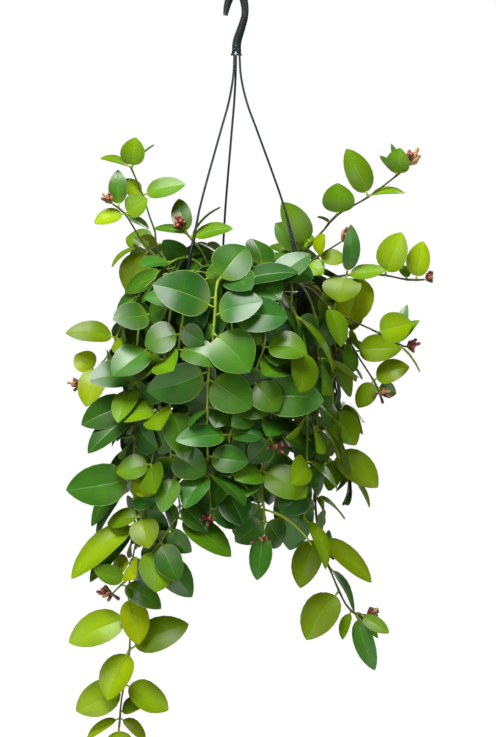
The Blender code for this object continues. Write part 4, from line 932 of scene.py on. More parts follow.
def leaf_back():
    """The matt, paler underside, with a raised midrib."""
    made, tree, shader = new_material("leaf underside")
    across, _, rib, veins = leaf_lines(tree)
    age, shade, _ = leaf_age(tree)
    place = object_place(tree)
    body = ramp(age, ((0.0, (0.036, 0.088, 0.010)), (0.5, (0.115, 0.180, 0.005)),
                      (1.0, (0.280, 0.340, 0.005))))
    cloud = noise(place, 80.0, 4.0)
    body = dimmed(body, plus(times(cloud, 0.5), plus(times(shade, 0.35), 0.58)))
    lines = maths("MAXIMUM", rib, times(veins, 0.3))
    body = blend(times(lines, 0.45), body, (0.150, 0.220, 0.050, 1))
    body = blend(between(across, 0.945, 0.99, 0.0, 0.5), body, (0.160, 0.230, 0.050, 1))
    socket_value(shader, {"Base Color": body, "Roughness": plus(times(cloud, 0.2), 0.50),
                          "Normal": bumps(lines, 0.5, 0.0008)})
    shader.inputs["Specular IOR Level"].default_value = 0.25
    return made


def stem_skin():
    """Stems and leaf stalks: yellow-green when fresh, and olive-brown where they are woody."""
    made, tree, shader = new_material("stem skin")
    age, _, wear = leaf_age(tree)
    place = object_place(tree)
    body = ramp(age, ((0.0, (0.080, 0.120, 0.020)), (0.5, (0.150, 0.225, 0.018)),
                      (1.0, (0.230, 0.320, 0.022))))
    bark = noise(place, 190.0, 5.0)
    body = blend(times(wear, between(bark, 0.30, 0.60, 0.80, 1.0)), body,
                 (0.026, 0.022, 0.012, 1))
    socket_value(shader, {"Base Color": body, "Roughness": between(bark, 0.3, 0.7, 0.38, 0.60),
                          "Normal": bumps(bark, 0.35, 0.0005)})
    shader.inputs["Specular IOR Level"].default_value = 0.25
    return made


def bud_skin():
    """A bud: a yellow-green cup, then a dark red or straw-coloured tube with a paler mouth."""
    made, tree, shader = new_material("bud skin")
    uv = add(tree, "ShaderNodeUVMap", uv_map="bud").outputs[0]
    along = add(tree, "ShaderNodeSeparateXYZ", {0: uv}).outputs[1]
    shade = leaf_age(tree)[1]
    place = object_place(tree)
    red = ramp(along, ((0.0, (0.150, 0.170, 0.030)), (0.28, (0.210, 0.120, 0.030)),
                       (0.42, (0.070, 0.009, 0.005)), (0.80, (0.110, 0.011, 0.006)),
                       (1.0, (0.260, 0.080, 0.025))))
    straw = ramp(along, ((0.0, (0.060, 0.030, 0.012)), (0.30, (0.200, 0.150, 0.035)),
                         (0.75, (0.340, 0.215, 0.065)), (1.0, (0.230, 0.090, 0.035))))
    body = blend(between(shade, 0.54, 0.58), red, straw)
    fuzz = noise(place, 900.0, 3.0)
    body = dimmed(body, between(fuzz, 0.3, 0.7, 0.7, 1.25))
    socket_value(shader, {"Base Color": body,
                          "Roughness": between(fuzz, 0.3, 0.7, 0.45, 0.62),
                          "Normal": bumps(fuzz, 0.4, 0.0004)})
    shader.inputs["Sheen Weight"].default_value = 0.05
    return made


def moulded_plastic():
    """The hanger's satin black plastic, slightly green-grey where it is rubbed."""
    made, tree, shader = new_material("hanger plastic")
    place = object_place(tree)
    cloud = noise(place, 45.0, 4.0)
    grain = noise(place, 1500.0, 2.0)
    body = ramp(cloud, ((0.3, (0.004, 0.008, 0.008)), (0.7, (0.008, 0.015, 0.016))))
    rubbed = noise(place, 160.0, 4.0)
    body = blend(between(rubbed, 0.62, 0.80, 0.0, 0.15), body, (0.030, 0.040, 0.042, 1))
    socket_value(shader, {"Base Color": body,
                          "Roughness": between(rubbed, 0.35, 0.75, 0.22, 0.32),
                          "Normal": bumps(grain, 0.03, 0.0002)})
    return made


def pot_plastic():
    """Glossy near-black pot, with fine rings from the mould, scuffs and a little dried dust."""
    made, tree, shader = new_material("pot plastic")
    place = object_place(tree)
    height = add(tree, "ShaderNodeSeparateXYZ", {0: place}).outputs[2]
    rings = maths("SINE", times(height, 5200.0))
    stretched = add(tree, "ShaderNodeMapping", {"Vector": place, "Scale": (1.0, 1.0, 7.0)})
    scuff = noise(stretched.outputs[0], 130.0, 6.0)
    cloud = noise(place, 30.0, 4.0)
    body = ramp(cloud, ((0.3, (0.003, 0.004, 0.009)), (0.75, (0.010, 0.012, 0.024))))
    dust = times(between(scuff, 0.58, 0.80), between(noise(place, 22.0), 0.48, 0.66))
    body = blend(times(dust, 0.28), body, (0.085, 0.075, 0.062, 1))
    relief = plus(times(rings, 0.25), scuff)
    socket_value(shader, {"Base Color": body, "Roughness": plus(times(dust, 0.4), 0.17),
                          "Normal": bumps(relief, 0.10, 0.0003)})
    return made


def potting_mix():
    """Dark damp mix with brown bark and a few pale grains."""
    made, tree, shader = new_material("potting mix")
    place = object_place(tree)
    crumbs = add(tree, "ShaderNodeTexVoronoi", {"Vector": place, "Scale": 330.0})
    lumps = noise(place, 120.0, 6.0)
    body = ramp(lumps, ((0.3, (0.008, 0.006, 0.004)), (0.55, (0.032, 0.020, 0.012)),
                        (0.8, (0.090, 0.052, 0.028))))
    chance = add(tree, "ShaderNodeSeparateColor", {0: crumbs.outputs["Color"]}).outputs[0]
    body = blend(between(chance, 0.955, 0.965, 0.0, 0.8), body, (0.500, 0.470, 0.400, 1))
    height = plus(lumps, times(crumbs.outputs["Distance"], 0.6))
    socket_value(shader, {"Base Color": body,
                          "Roughness": between(lumps, 0.3, 0.8, 0.75, 0.95),
                          "Normal": bumps(height, 0.9, 0.003)})
    return made


def bark_skin():
    """Shredded bark: brown, with darker streaks along its grain."""
    made, tree, shader = new_material("bark chips")
    place = object_place(tree)
    stretched = add(tree, "ShaderNodeMapping", {"Vector": place, "Scale": (0.4, 1.0, 1.6)})
    streak = noise(stretched.outputs[0], 600.0, 5.0)
    body = ramp(streak, ((0.3, (0.022, 0.013, 0.008)), (0.55, (0.075, 0.042, 0.022)),
                         (0.8, (0.170, 0.105, 0.060))))
    socket_value(shader, {"Base Color": body,
                          "Roughness": between(streak, 0.3, 0.8, 0.65, 0.9),
                          "Normal": bumps(streak, 0.6, 0.001)})
    return made


def alone(made):
    """Selects only this object and makes it active."""
    bpy.ops.object.select_all(action="DESELECT")
    made.select_set(True)
    bpy.context.view_layer.objects.active = made


def marked(made, kind, test):
    """Edit mode on a piece, with only its points, edges or faces that pass a test selected."""
    alone(made)
    bpy.ops.object.mode_set(mode="EDIT")
    bpy.ops.mesh.select_mode(type=kind)
    bpy.ops.mesh.select_all(action="DESELECT")
    bpy.ops.object.mode_set(mode="OBJECT")
    mesh = made.data
    for item in {"VERT": mesh.vertices, "EDGE": mesh.edges, "FACE": mesh.polygons}[kind]:
        item.select = test(item)
    bpy.ops.object.mode_set(mode="EDIT")


def object_mode():
    bpy.ops.object.mode_set(mode="OBJECT")


def settled(made, name, skin=None):
    """A primitive named and dressed, with its place in its mesh."""
    alone(made)
    bpy.ops.object.transform_apply(location=True, rotation=True, scale=True)
    made.name = name
    if skin:
        made.data.materials.clear()
        made.data.materials.append(SKINS[skin])
    return made


def modifier_applied(made, kind, **settings):
    """One modifier added with its settings and applied."""
    alone(made)
    modifier = made.modifiers.new(kind.title(), kind)
    for name, value in settings.items():
        setattr(modifier, name, value)
    bpy.ops.object.modifier_apply(modifier=modifier.name)


def rounded(made, width, angle=35, segments=2):
    """Bevels the sharp edges and smooths the rest."""
    modifier_applied(made, "BEVEL", width=width * MM, segments=segments, limit_method="ANGLE",
                     angle_limit=math.radians(angle), harden_normals=False)
    bpy.ops.object.shade_smooth_by_angle(angle=math.radians(38))


def coordinates(mesh):
    places = np.empty(len(mesh.vertices) * 3)
    mesh.vertices.foreach_get("co", places)
    return places.reshape(-1, 3)


def set_coordinates(mesh, places):
    mesh.vertices.foreach_set("co", np.ascontiguousarray(places, dtype=float).ravel())
    mesh.update()


def joined(pieces, name):
    """Several mesh objects as one, named object at the origin."""
    alone(pieces[0])
    for piece in pieces:
        piece.select_set(True)
    if len(pieces) > 1:
        bpy.ops.object.join()
    made = bpy.context.view_layer.objects.active
    made.name = name
    made.data.name = name
    return made


def stands_for(made, node):
    """A finished piece rides with the body and takes a plain solid's place, which is hidden."""
    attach(made, "root")
    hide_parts(node)


def copy_of(template, name):
    """A copy of a template with its own mesh."""
    made = template.copy()
    made.data = template.data.copy()
    made.name = name
    bpy.context.scene.collection.objects.link(made)
    return made


def on_back(point):
    """Whether a blade's point is on its lower sheet, which waits at -1 while it is modelled."""
    return point.co.z < -0.5


def blade_sheet(rows, spread):
    """The upper sheet of a unit blade, 1 long and 1 wide, with its outline and its UV map."""
    steps = len(rows) - 1
    bpy.ops.mesh.primitive_grid_add(x_subdivisions=4, y_subdivisions=steps, size=1,
                                    location=(0, 0.5, 0), calc_uvs=True)
    blade = settled(bpy.context.object, "blade", "leaf face")
    blade.data.materials.append(SKINS["leaf underside"])
    lines = blade.data.uv_layers[0]
    lines.name = "blade"
    for corner in lines.data:
        corner.uv.y = rows[round(corner.uv.y * steps)]
    for row in range(steps + 1):
        level = row / steps
        marked(blade, "VERT", lambda point: abs(point.co.y - level) < CLOSE)
        bpy.ops.transform.resize(value=(spread[row], 1, 1), center_override=(0, level, 0))
        bpy.ops.transform.translate(value=(0, rows[row] - level, 0))
        object_mode()
    return blade


def back_added(blade, rows, spread):
    """Gives a blade its lower sheet, joined at the margin, with a raised rib and a closed tip."""
    marked(blade, "FACE", lambda face: True)
    bpy.ops.mesh.duplicate()
    bpy.ops.mesh.flip_normals()
    blade.active_material_index = 1
    bpy.ops.object.material_slot_assign()
    bpy.ops.transform.translate(value=(0, 0, -1))
    object_mode()
    widths = dict(zip([round(row, 3) for row in rows], spread))

    def on_margin(point):
        edge = widths[round(point.co.y, 3)] / 2
        ends = point.co.y < CLOSE or point.co.y > 1 - CLOSE
        return on_back(point) and (ends or abs(abs(point.co.x) - edge) < CLOSE)

    marked(blade, "VERT", on_margin)
    bpy.ops.transform.translate(value=(0, 0, 1))
    bpy.ops.mesh.select_all(action="SELECT")
    bpy.ops.mesh.remove_doubles(threshold=0.0001)
    object_mode()
    marked(blade, "VERT", lambda point: on_back(point) and abs(point.co.x) < CLOSE)
    bpy.ops.transform.translate(value=(0, 0, 1 - RIB_DEPTH))
    object_mode()
    marked(blade, "VERT", lambda point: point.co.y > 1 - CLOSE)
    bpy.ops.mesh.merge(type="CENTER")
    object_mode()


def back_thinned(blade):
    """Takes out the lower sheet's edges between its rib and its margin, which aren't needed."""
    points = blade.data.vertices

    def between_lines(point):
        return on_back(point) and abs(point.co.x) > CLOSE

    marked(blade, "EDGE", lambda edge: any(between_lines(points[i]) for i in edge.vertices)
           and all(between_lines(points[i]) or not CLOSE < points[i].co.y < 1 - CLOSE
                   for i in edge.vertices))
    bpy.ops.mesh.dissolve_edges(use_verts=True)
    object_mode()


def blade_shape(rows, spread):
    """A unit blade of two sheets that meet at the margin, sharp there and along its midrib."""
    blade = blade_sheet(rows, spread)
    back_added(blade, rows, spread)
    back_thinned(blade)
    points = blade.data.vertices
    sides = {}
    for face in blade.data.polygons:
        for key in face.edge_keys:
            sides.setdefault(key, set()).add(face.material_index)
    marked(blade, "EDGE", lambda edge: len(sides[edge.key]) == 2 or all(
        abs(points[i].co.x) < CLOSE and not on_back(points[i]) for i in edge.vertices))
    bpy.ops.mesh.mark_sharp()
    object_mode()
    bpy.ops.object.shade_smooth()
    return blade


def stalk_shape():
    """A unit leaf stalk along Y, wider at its foot."""
    bpy.ops.mesh.primitive_cylinder_add(vertices=6, radius=1, depth=1, location=(0, 0.5, 0),
                                        rotation=(math.pi / 2, 0, 0))
    stalk = settled(bpy.context.object, "stalk", "stem skin")
    stalk.data.uv_layers[0].name = "blade"
    marked(stalk, "VERT", lambda point: point.co.y < 0.5)
    bpy.ops.transform.resize(value=(1.45, 1, 1.45), center_override=(0, 0, 0))
    object_mode()
    bpy.ops.object.shade_smooth()
    return stalk


def bud_shape():
    """A unit bud along Y: a narrow cup, then a swelling tube that closes at its mouth."""
    bpy.ops.mesh.primitive_cylinder_add(vertices=7, radius=0.42, depth=0.12,
                                        location=(0, 0.06, 0), rotation=(math.pi / 2, 0, 0))
    bud = settled(bpy.context.object, "bud", "bud skin")
    height = 0.12
    for level, spread in ((0.30, 1.75), (0.38, 0.80), (0.62, 1.28), (0.84, 1.05), (0.95, 0.72)):
        marked(bud, "FACE", lambda face: face.center.y > height - CLOSE)
        bpy.ops.mesh.extrude_region_move(TRANSFORM_OT_translate={"value": (0, level - height, 0)})
        bpy.ops.transform.resize(value=(spread, 1, spread), center_override=(0, level, 0))
        height = level
        object_mode()
    marked(bud, "FACE", lambda face: face.center.y > height - CLOSE)
    bpy.ops.mesh.extrude_region_move(TRANSFORM_OT_translate={"value": (0, 0.05, 0)})
    bpy.ops.mesh.merge(type="CENTER")
    object_mode()
    lines = bud.data.uv_layers[0]
    lines.name = "bud"
    for face in bud.data.polygons:
        for i in face.loop_indices:
            lines.data[i].uv = (0.5, bud.data.vertices[bud.data.loops[i].vertex_index].co.y)
    bpy.ops.object.shade_smooth()
    return bud


def tinted(mesh, age, shade, wear):
    """Gives every point of a mesh its age, shade and wear."""
    layer = mesh.color_attributes.new("tint", "FLOAT_COLOR", "POINT")
    values = np.tile((age, shade, wear, 1.0), len(mesh.vertices))
    layer.data.foreach_set("color", values)


def leaf_axes(leaf, base, roll):
    """Directions along a leaf, across it and out of its face, turned on its own line."""
    along = (leaf.tip - base).normalized()
    side = along.cross(leaf.face).normalized()
    up = side.cross(along)
    return (along, side * math.cos(roll) + up * math.sin(roll),
            up * math.cos(roll) - side * math.sin(roll))


def blade_places(leaf, base, flat, axes, arch, draw):
    """A unit blade's points, bent onto the leaf's own line, width and facing."""
    along, side, up = axes
    length, width = (leaf.tip - base).length, leaf.width
    half = np.abs(flat[:, 0]) * 2
    share = BLADE_START + (1 - BLADE_START) * flat[:, 1]
    rise = arch * 4 * share * (1 - share) * length
    fold = width / 2 * (CREASE * half - MARGIN_FALL * half * half)
    fold *= 1.25 - 0.6 * flat[:, 1]
    wave = np.sin(flat[:, 1] * draw.uniform(4, 8) + draw.uniform(0, 6)) * half
    wave *= width * draw.uniform(0.005, 0.03) * np.sign(flat[:, 0] + draw.choice((-1, 1)))
    bend = draw.uniform(-0.06, 0.06) * width * 4 * share * (1 - share)
    height = flat[:, 2] * BLADE_THICK + rise + fold + wave
    wide = flat[:, 0] * width + bend
    made = np.outer(share * length, along) + np.outer(wide, side) + np.outer(height, up)
    return made + np.array(base)


def outside_box(places):
    """Whether any point lies outside the plain solids' own box."""
    low, high = np.array(cad_box[0]) - BOX_SLACK, np.array(cad_box[1]) + BOX_SLACK
    return bool((places < low).any() or (places > high).any())


def fine_stalk(axes, arch, length, base, tint):
    """A leaf's stalk, along the start of the leaf's own arched line."""
    along, side, up = axes
    stalk = copy_of(STALK_SHAPE, "stalk")
    places = coordinates(stalk.data)
    share = places[:, 1] * (BLADE_START + 0.02)
    rise = arch * 4 * share * (1 - share) * length
    thin = STALK_RADIUS * (0.75 + 0.25 * length / 0.06)
    made = (np.outer(share * length, along) + np.outer(places[:, 0] * thin, side)
            + np.outer(places[:, 2] * thin + rise, up))
    set_coordinates(stalk.data, made + np.array(base))
    tinted(stalk.data, min(1.0, tint[0] + 0.5), tint[1], 0.0)
    return stalk


def fine_leaf(one, leaf, base, tint, placed, inside, draw):
    """One blade and its stalk. The blade strays a little until it clears those made before."""
    template = BLADES[leaf.width > LARGE_LEAF * MM]
    flat = coordinates(template.data)
    faces = [tuple(face.vertices) for face in template.data.polygons]
    length = (leaf.tip - base).length
    fewest = None
    for attempt in range(BLADE_TRIES):
        ease = attempt / BLADE_TRIES
        stray = Vector([draw.uniform(-1, 1) for _ in range(3)]) * TIP_STRAY * ease ** 2 * length
        moved = leaf._replace(tip=leaf.tip + stray,
                              width=leaf.width * (WIDER - WIDER_EASE * ease))
        axes = leaf_axes(moved, base, draw.gauss(0, ROLL))
        arch = LEAF_ARCH * draw.uniform(*ARCH_SPAN)
        made = blade_places(moved, base, flat, axes, arch, draw)
        points = made.tolist()
        crossings = len(placed.crossed(points, faces, one.name + " stem"))
        if outside_box(made):
            crossings += OUTSIDE
        if fewest is None or crossings < fewest:
            fewest, kept = crossings, (made, points, axes, arch)
        if not crossings:
            break
    if inside and fewest:
        return []
    made, points, axes, arch = kept
    placed.add(one.name, points, faces)
    blade = copy_of(template, "blade")
    set_coordinates(blade.data, made)
    tinted(blade.data, *tint)
    return [blade, fine_stalk(axes, arch, length, base, tint)]


def fine_line(stem):
    """Points along the stem's smooth line, close enough for a smooth tube."""
    line = [stem.smooth(0.0)]
    for i in range(len(stem.route) - 1):
        span = (stem.route[i + 1] - stem.route[i]).length
        steps = max(2, round(span / FINE_STEP))
        line += [stem.smooth(i + (step + 1) / steps) for step in range(steps)]
    return line


def fine_stem(one, line, bases):
    """The stem as a smooth tube that swells a little at each leaf pair."""
    curve = bpy.data.curves.new(one.name + " stem", "CURVE")
    curve.dimensions = "3D"
    curve.bevel_depth = MM
    curve.bevel_resolution = 1
    curve.use_fill_caps = True
    spline = curve.splines.new("POLY")
    spline.points.add(len(line) - 1)
    for i, (dot, point) in enumerate(zip(spline.points, line)):
        near = min([(point - base).length for base in bases] + [1.0])
        swell = 1 + NODE_SWELL * math.exp(-(near / NODE_REACH) ** 2)
        share = i / (len(line) - 1)
        radius = FINE_STEM[0] + (FINE_STEM[1] - FINE_STEM[0]) * min(1, share * FINE_NARROWS)
        dot.co = (*point, 1)
        dot.radius = radius * swell
    made = bpy.data.objects.new(one.name + " stem", curve)
    bpy.context.scene.collection.objects.link(made)
    alone(made)
    bpy.ops.object.convert(target="MESH")
    made = bpy.context.object
    made.data.materials.clear()
    made.data.materials.append(SKINS["stem skin"])
    bpy.ops.object.shade_smooth()
    stem_tinted(made, one, line)
    return made


def stem_tinted(made, one, line):
    """Gives a stem's points their age and wear, fresher and woodier along it."""
    places = coordinates(made.data)
    ends = np.array(line)
    nearest = np.argmin(np.linalg.norm(places[:, None] - ends[None], axis=2), axis=1)
    share = nearest / (len(line) - 1)
    ages = np.clip(max(AGES[one.tone], STEM_AGE) + STEM_FRESHER * share, 0, 1)
    wear = STEM_WEAR.get(one.name, COMMON_WEAR) * np.clip(0.35 + share * 1.8, 0, 1)
    values = np.stack([ages, share, wear, np.ones(len(share))], axis=1)
    layer = made.data.color_attributes.new("tint", "FLOAT_COLOR", "POINT")
    layer.data.foreach_set("color", values.ravel())


def edge_on(one, leaf, others, taken):
    """The leaf turned on its own line, so that the front sees little more than its edge."""
    reach = leaf.tip - leaf.base
    own = Taken()
    for other in others:
        own.add("blade", *leaf_solid(other))
    fewest = None
    for drop in EDGE_DROPS:
        along = (reach.normalized() - UP * drop).normalized()
        for way in (FLAT_FACE,) if abs(along.x) > ACROSS else EDGE_FACES:
            turned = Leaf(leaf.base, leaf.base + along * reach.length,
                          square_to(Vector(way), along), leaf.width * EDGE_WIDTH)
            points, faces = leaf_solid(turned)
            crossings = len(taken.crossed(points, faces, one.name)
                            + own.crossed(points, faces[ROOT_FACES:]))
            if fewest is None or crossings < fewest:
                fewest, kept = crossings, turned
            if not crossings:
                return turned
    return kept


def turn_edge_on(vines, grown, taken):
    """Turns the leaves of the right-hand bundle, before more leaves grow round them."""
    for one in vines:
        leaves = grown[one.name]
        for index in EDGE_ON.get(one.name, ()):
            others = leaves[:index] + leaves[index + 1:]
            leaves[index] = edge_on(one, leaves[index], others, taken)
            taken.add(one.name, *leaf_solid(leaves[index]))


def leaf_age_at(one, share, base, draw):
    """Leaves are darker near the pot, and fresher towards the stem's end and the outside."""
    open_air = max(math.hypot(base.x, base.y) - OPEN_REACH, OPEN_FOOT - base.z) / OPEN_EASE
    open_air = min(1.0, max(0.0, open_air))
    right_side = min(1.0, max(0.0, (base.x - RIGHT_SIDE) / RIGHT_EASE))
    age = AGES[one.tone] * (BUSH_AGE + (1 - BUSH_AGE) * max(open_air, share * share))
    age += RIGHT_FRESHER * right_side * (1 - open_air)
    return min(1.0, max(0.0, age + draw.uniform(*AGE_STRAY)))


def dress_leaves(one, line, leaves, inside, placed, draw):
    """Fine leaves on a stem's line, and the points where they grow.

    Leaves inside the bush get painted shade, an older and darker colour, and one that can't clear
    the others is left out.
    """
    pieces, bases = [], []
    known = () if inside else LEAF_AGES.get(one.name, ())
    for index, leaf in enumerate(leaves):
        near = min(range(len(line)), key=lambda i: (line[i] - leaf.base).length)
        age = leaf_age_at(one, near / len(line), line[near], draw)
        shade, wear = draw.random(), draw.random()
        # Painted shade: a leaf inside the bush is made older and darker in colour
        if inside:
            age, shade = age * SHADED_AGE_INSIDE, shade * PAINTED_SHADE_INSIDE
        elif index < len(known):
            age = known[index]
        elif index in EDGE_ON.get(one.name, ()):
            age = draw.uniform(*EDGE_AGE)
        made = fine_leaf(one, leaf, line[near], (age, shade, wear), placed, inside, draw)
        if made:
            pieces += made
            bases.append(line[near])
    return pieces, bases


def dress_buds(one, stem, centre, draw):
    """A dense cluster of fine buds round the same point as the plain ones."""
    along = stem.end()[1]
    aside = along.orthogonal().normalized()
    size = LARGE_BUDS.get(one.name, 1.0)
    low = centre - along * 1.5 * MM
    pieces = []
    for i in range(BUDS_EACH):
        lean = math.acos(1 - BUD_SPREAD * (i + 0.5) / BUDS_EACH)
        turn = Matrix.Rotation(i * BUD_TURN + draw.uniform(-0.3, 0.3), 3, along)
        heading = along * math.cos(lean) + turn @ aside * math.sin(lean)
        heading = (heading + UP * BUD_RISE + outward(centre) * BUD_OUT).normalized()
        reach = BUD_SPAN * size * (1.05 - 0.35 * lean) * draw.uniform(0.65, 1.0) * MM
        while low.x + heading.x * reach > cad_box[1][0] - BOX_ROOM:
            reach *= 0.9
        bud = copy_of(BUD_SHAPE, "bud")
        swing = Vector((0, 1, 0)).rotation_difference(heading).to_matrix()
        thick = BUD_WAIST * size * draw.uniform(0.75, 1.0) * MM
        places = coordinates(bud.data) * (thick, reach, thick)
        places[:, 0] += np.sin(places[:, 1] / reach * 2) * draw.uniform(-1, 1) * MM
        set_coordinates(bud.data, places @ np.array(swing.transposed()) + np.array(low))
        straw = STRAW_BUDS.get(one.name, COMMON_STRAW)
        tinted(bud.data, 0.5, 0.9 if draw.random() < straw else 0.2, 0.0)
        pieces.append(bud)
    stands_for(joined(pieces, one.name + "_bud_cluster"), one.name + "_buds")


def row_line(line, widths, steps):
    """Points and widths between the given ones, on a smooth line through them."""
    points, spans = [], []
    for i in range(len(line) - 1):
        four = line[max(i - 1, 0)], line[i], line[i + 1], line[min(i + 2, len(line) - 1)]
        for step in range(steps if i < len(line) - 2 else steps + 1):
            t = step / steps
            points.append(smooth_point(*four, t))
            spans.append(widths[i] + (widths[i + 1] - widths[i]) * t)
    return points, spans


def hook_plate(points, spans):
    """The curved plate: a grid laid along the hook's line, then drawn out to its thickness."""
    shares = (-HOOK_SIDE_SHARE, -HOOK_RIB_SHARE / 2, HOOK_RIB_SHARE / 2, HOOK_SIDE_SHARE)
    bpy.ops.mesh.primitive_grid_add(x_subdivisions=3, y_subdivisions=len(points) - 1, size=1)
    hook = settled(bpy.context.object, "hook_plate", "hanger plastic")
    places = coordinates(hook.data)
    for i, (x, y, z) in enumerate(places.copy()):
        row = round((y + 0.5) * (len(points) - 1))
        after, before = points[min(row + 1, len(points) - 1)], points[max(row - 1, 0)]
        aside = Vector((after.z - before.z, 0, before.x - after.x)).normalized()
        places[i] = points[row] + aside * spans[row] * shares[round((x + 0.5) * 3)] * MM
        places[i][1] = HOOK_PLATE / 2 * MM
    set_coordinates(hook.data, places)
    marked(hook, "FACE", lambda face: True)
    bpy.ops.mesh.extrude_region_move(TRANSFORM_OT_translate={"value": (0, -HOOK_PLATE * MM, 0)})
    object_mode()
    marked(hook, "FACE", lambda face: True)
    bpy.ops.mesh.normals_make_consistent(inside=False)
    object_mode()
    return hook


def raise_ribs(hook, points):
    """Draws the plate's middle faces out into a rib on each side."""
    middle = set()
    for face in hook.data.polygons:
        if abs(face.normal.y) > 0.9:
            near = min(points, key=lambda point: math.hypot(point.x - face.center.x,
                                                            point.z - face.center.z))
            off = math.hypot(near.x - face.center.x, near.z - face.center.z)
            if off < RIB_REACH * MM:
                middle.add((face.index, face.center.y > 0))
    for front in (False, True):
        chosen = {index for index, side in middle if side == front}
        marked(hook, "FACE", lambda face: face.index in chosen and abs(face.normal.y) > 0.9)
        push = (HOOK_RIB - HOOK_PLATE) / 2 * MM * (1 if front else -1)
        bpy.ops.mesh.extrude_region_move(TRANSFORM_OT_translate={"value": (0, push, 0)})
        object_mode()


def dress_hook():
    """The moulded hook: a curved plate with a rib along both sides, and its flared collar."""
    line = [Vector((x, 0, z)) * MM for x, z in HOOK_LINE]
    points, spans = row_line(line, HOOK_WIDTHS, HOOK_STEPS)
    hook = hook_plate(points, spans)
    raise_ribs(hook, points)
    rounded(hook, 0.95, segments=3)
    collar = spun("collar", COLLAR_PROFILE, COLLAR_STEPS, "hanger plastic")
    rounded(collar, 0.3)
    stands_for(joined([hook, collar], "moulded_hook"), "hook")


def arm_rings():
    """The rod's path in the XZ plane and its half width and half thickness at each ring."""
    ring_top = Vector((RING_OUT - RING_MINOR / 2, 0, RIM_Z + RING_UP + RING_MAJOR))
    top = Vector((BLADE_TOP[0], 0, BLADE_TOP[1]))
    foot = Vector((BLADE_FOOT[0], 0, BLADE_FOOT[1]))
    start = Vector((ARM_OUT, 0, COLLAR_FOOT + SOCKET_DEEP - SOCKET_SLACK))
    below = Vector((ARM_OUT, 0, COLLAR_FOOT - 1.5))
    bow = [Vector((reach, 0, z)) for reach, z in ARM_BOW]
    line, _ = row_line([below, *bow, top, foot], [0] * (len(bow) + 3), ARM_STEPS)
    rings = [(start, ROD_RADIUS, ROD_RADIUS)]
    rings += [(point, ROD_RADIUS, ROD_RADIUS) for point in line[:ARM_STEPS * (len(bow) + 1)]]
    for i in range(BLADE_RINGS + 1):
        share = i / BLADE_RINGS
        ease = share * share * (3 - 2 * share)
        widest = BLADE_WIDE / 2
        half = ROD_RADIUS + (widest - ROD_RADIUS) * min(1, ease / BLADE_WIDEST)
        if share > BLADE_WIDEST:
            past = (share - BLADE_WIDEST) / (1 - BLADE_WIDEST)
            half = widest - (widest - BLADE_WIDE / 2.4) * past
        rings.append((top.lerp(foot, share), half, ROD_RADIUS
                      + (ARM_BLADE_THICK / 2 - ROD_RADIUS) * ease))
    rings.append((foot.lerp(ring_top, NECK_SHARE), *NECK_HALVES))
    rings.append((ring_top, 1.0, 1.0))
    return rings


def arm_rod():
    """The round rod and its flat blade: a cylinder cut into rings, laid along the arm's line."""
    rings = arm_rings()
    bpy.ops.mesh.primitive_cylinder_add(vertices=12, radius=1, depth=1)
    rod = settled(bpy.context.object, "rod", "hanger plastic")
    for i in range(1, len(rings) - 1):
        marked(rod, "FACE", lambda face: True)
        bpy.ops.mesh.bisect(plane_co=(0, 0, 0.5 - i / (len(rings) - 1)), plane_no=(0, 0, 1))
        object_mode()
    places = coordinates(rod.data)
    for i, (x, y, z) in enumerate(places.copy()):
        row = round((0.5 - z) * (len(rings) - 1))
        centre, wide, thick = rings[row]
        after, before = rings[min(row + 1, len(rings) - 1)][0], rings[max(row - 1, 0)][0]
        along = (after - before).normalized()
        aside = Vector((-along.z, 0, along.x))
        places[i] = (centre + aside * x * wide + Vector((0, y * thick, 0))) * MM
    set_coordinates(rod.data, places)
    marked(rod, "FACE", lambda face: True)
    bpy.ops.mesh.normals_make_consistent(inside=False)
    object_mode()
    bpy.ops.object.shade_smooth_by_angle(angle=math.radians(50))
    return rod


def rim_clip(ring_z):
    """The clip over the pot's rim: a block under the ring, two jaws and a catch, as one piece.

    The jaws are a step narrower than the block, and the catch is a step narrower than the jaws.
    """
    inner, outer = CLIP_SPAN
    block = CLIP_WIDE / 2
    jaw, catch = block - CLIP_STEP, block - 2 * CLIP_STEP
    jaw_foot, jaw_top = RIM_Z - JAW_DEEP, RIM_Z + JAW_RISE
    pieces = []
    for low, high in (
            ((inner, -block, RIM_Z + GAP / MM), (outer, block, ring_z - RING_MAJOR + RING_SUNK)),
            ((inner, -jaw, jaw_foot), (inner + JAW_THICK, jaw, jaw_top)),
            ((outer - JAW_THICK, -jaw, jaw_foot), (outer - CLIP_STEP, jaw, jaw_top)),
            ((outer - CATCH_WIDE, -catch, jaw_foot + CLIP_STEP),
             (outer - CATCH_BACK, catch, RIM_Z - RIM_DEEP - GAP / MM))):
        middle = (Vector(low) + Vector(high)) / 2 * MM
        size = (Vector(high) - Vector(low)) * MM
        bpy.ops.mesh.primitive_cube_add(size=1, location=middle, scale=size)
        pieces.append(settled(bpy.context.object, "clip", "hanger plastic"))
    clip = pieces[0]
    for piece in pieces[1:]:
        modifier_applied(clip, "BOOLEAN", operation="UNION", object=piece)
        bpy.data.objects.remove(piece)
    rounded(clip, 0.35)
    return clip


def arm_shape():
    """One hanger arm in the XZ plane: a rod with its flat blade, its ring and its rim clip."""
    rod = arm_rod()
    ring_z = RIM_Z + RING_UP
    bpy.ops.mesh.primitive_torus_add(major_radius=RING_MAJOR * MM,
                                     minor_radius=RING_MINOR * 0.97 * MM,
                                     major_segments=32, minor_segments=12,
                                     location=(RING_OUT * MM, 0, ring_z * MM),
                                     rotation=(math.pi / 2, 0, 0))
    ring = settled(bpy.context.object, "ring", "hanger plastic")
    bpy.ops.object.shade_smooth()
    return joined([rod, ring, rim_clip(ring_z)], "arm")


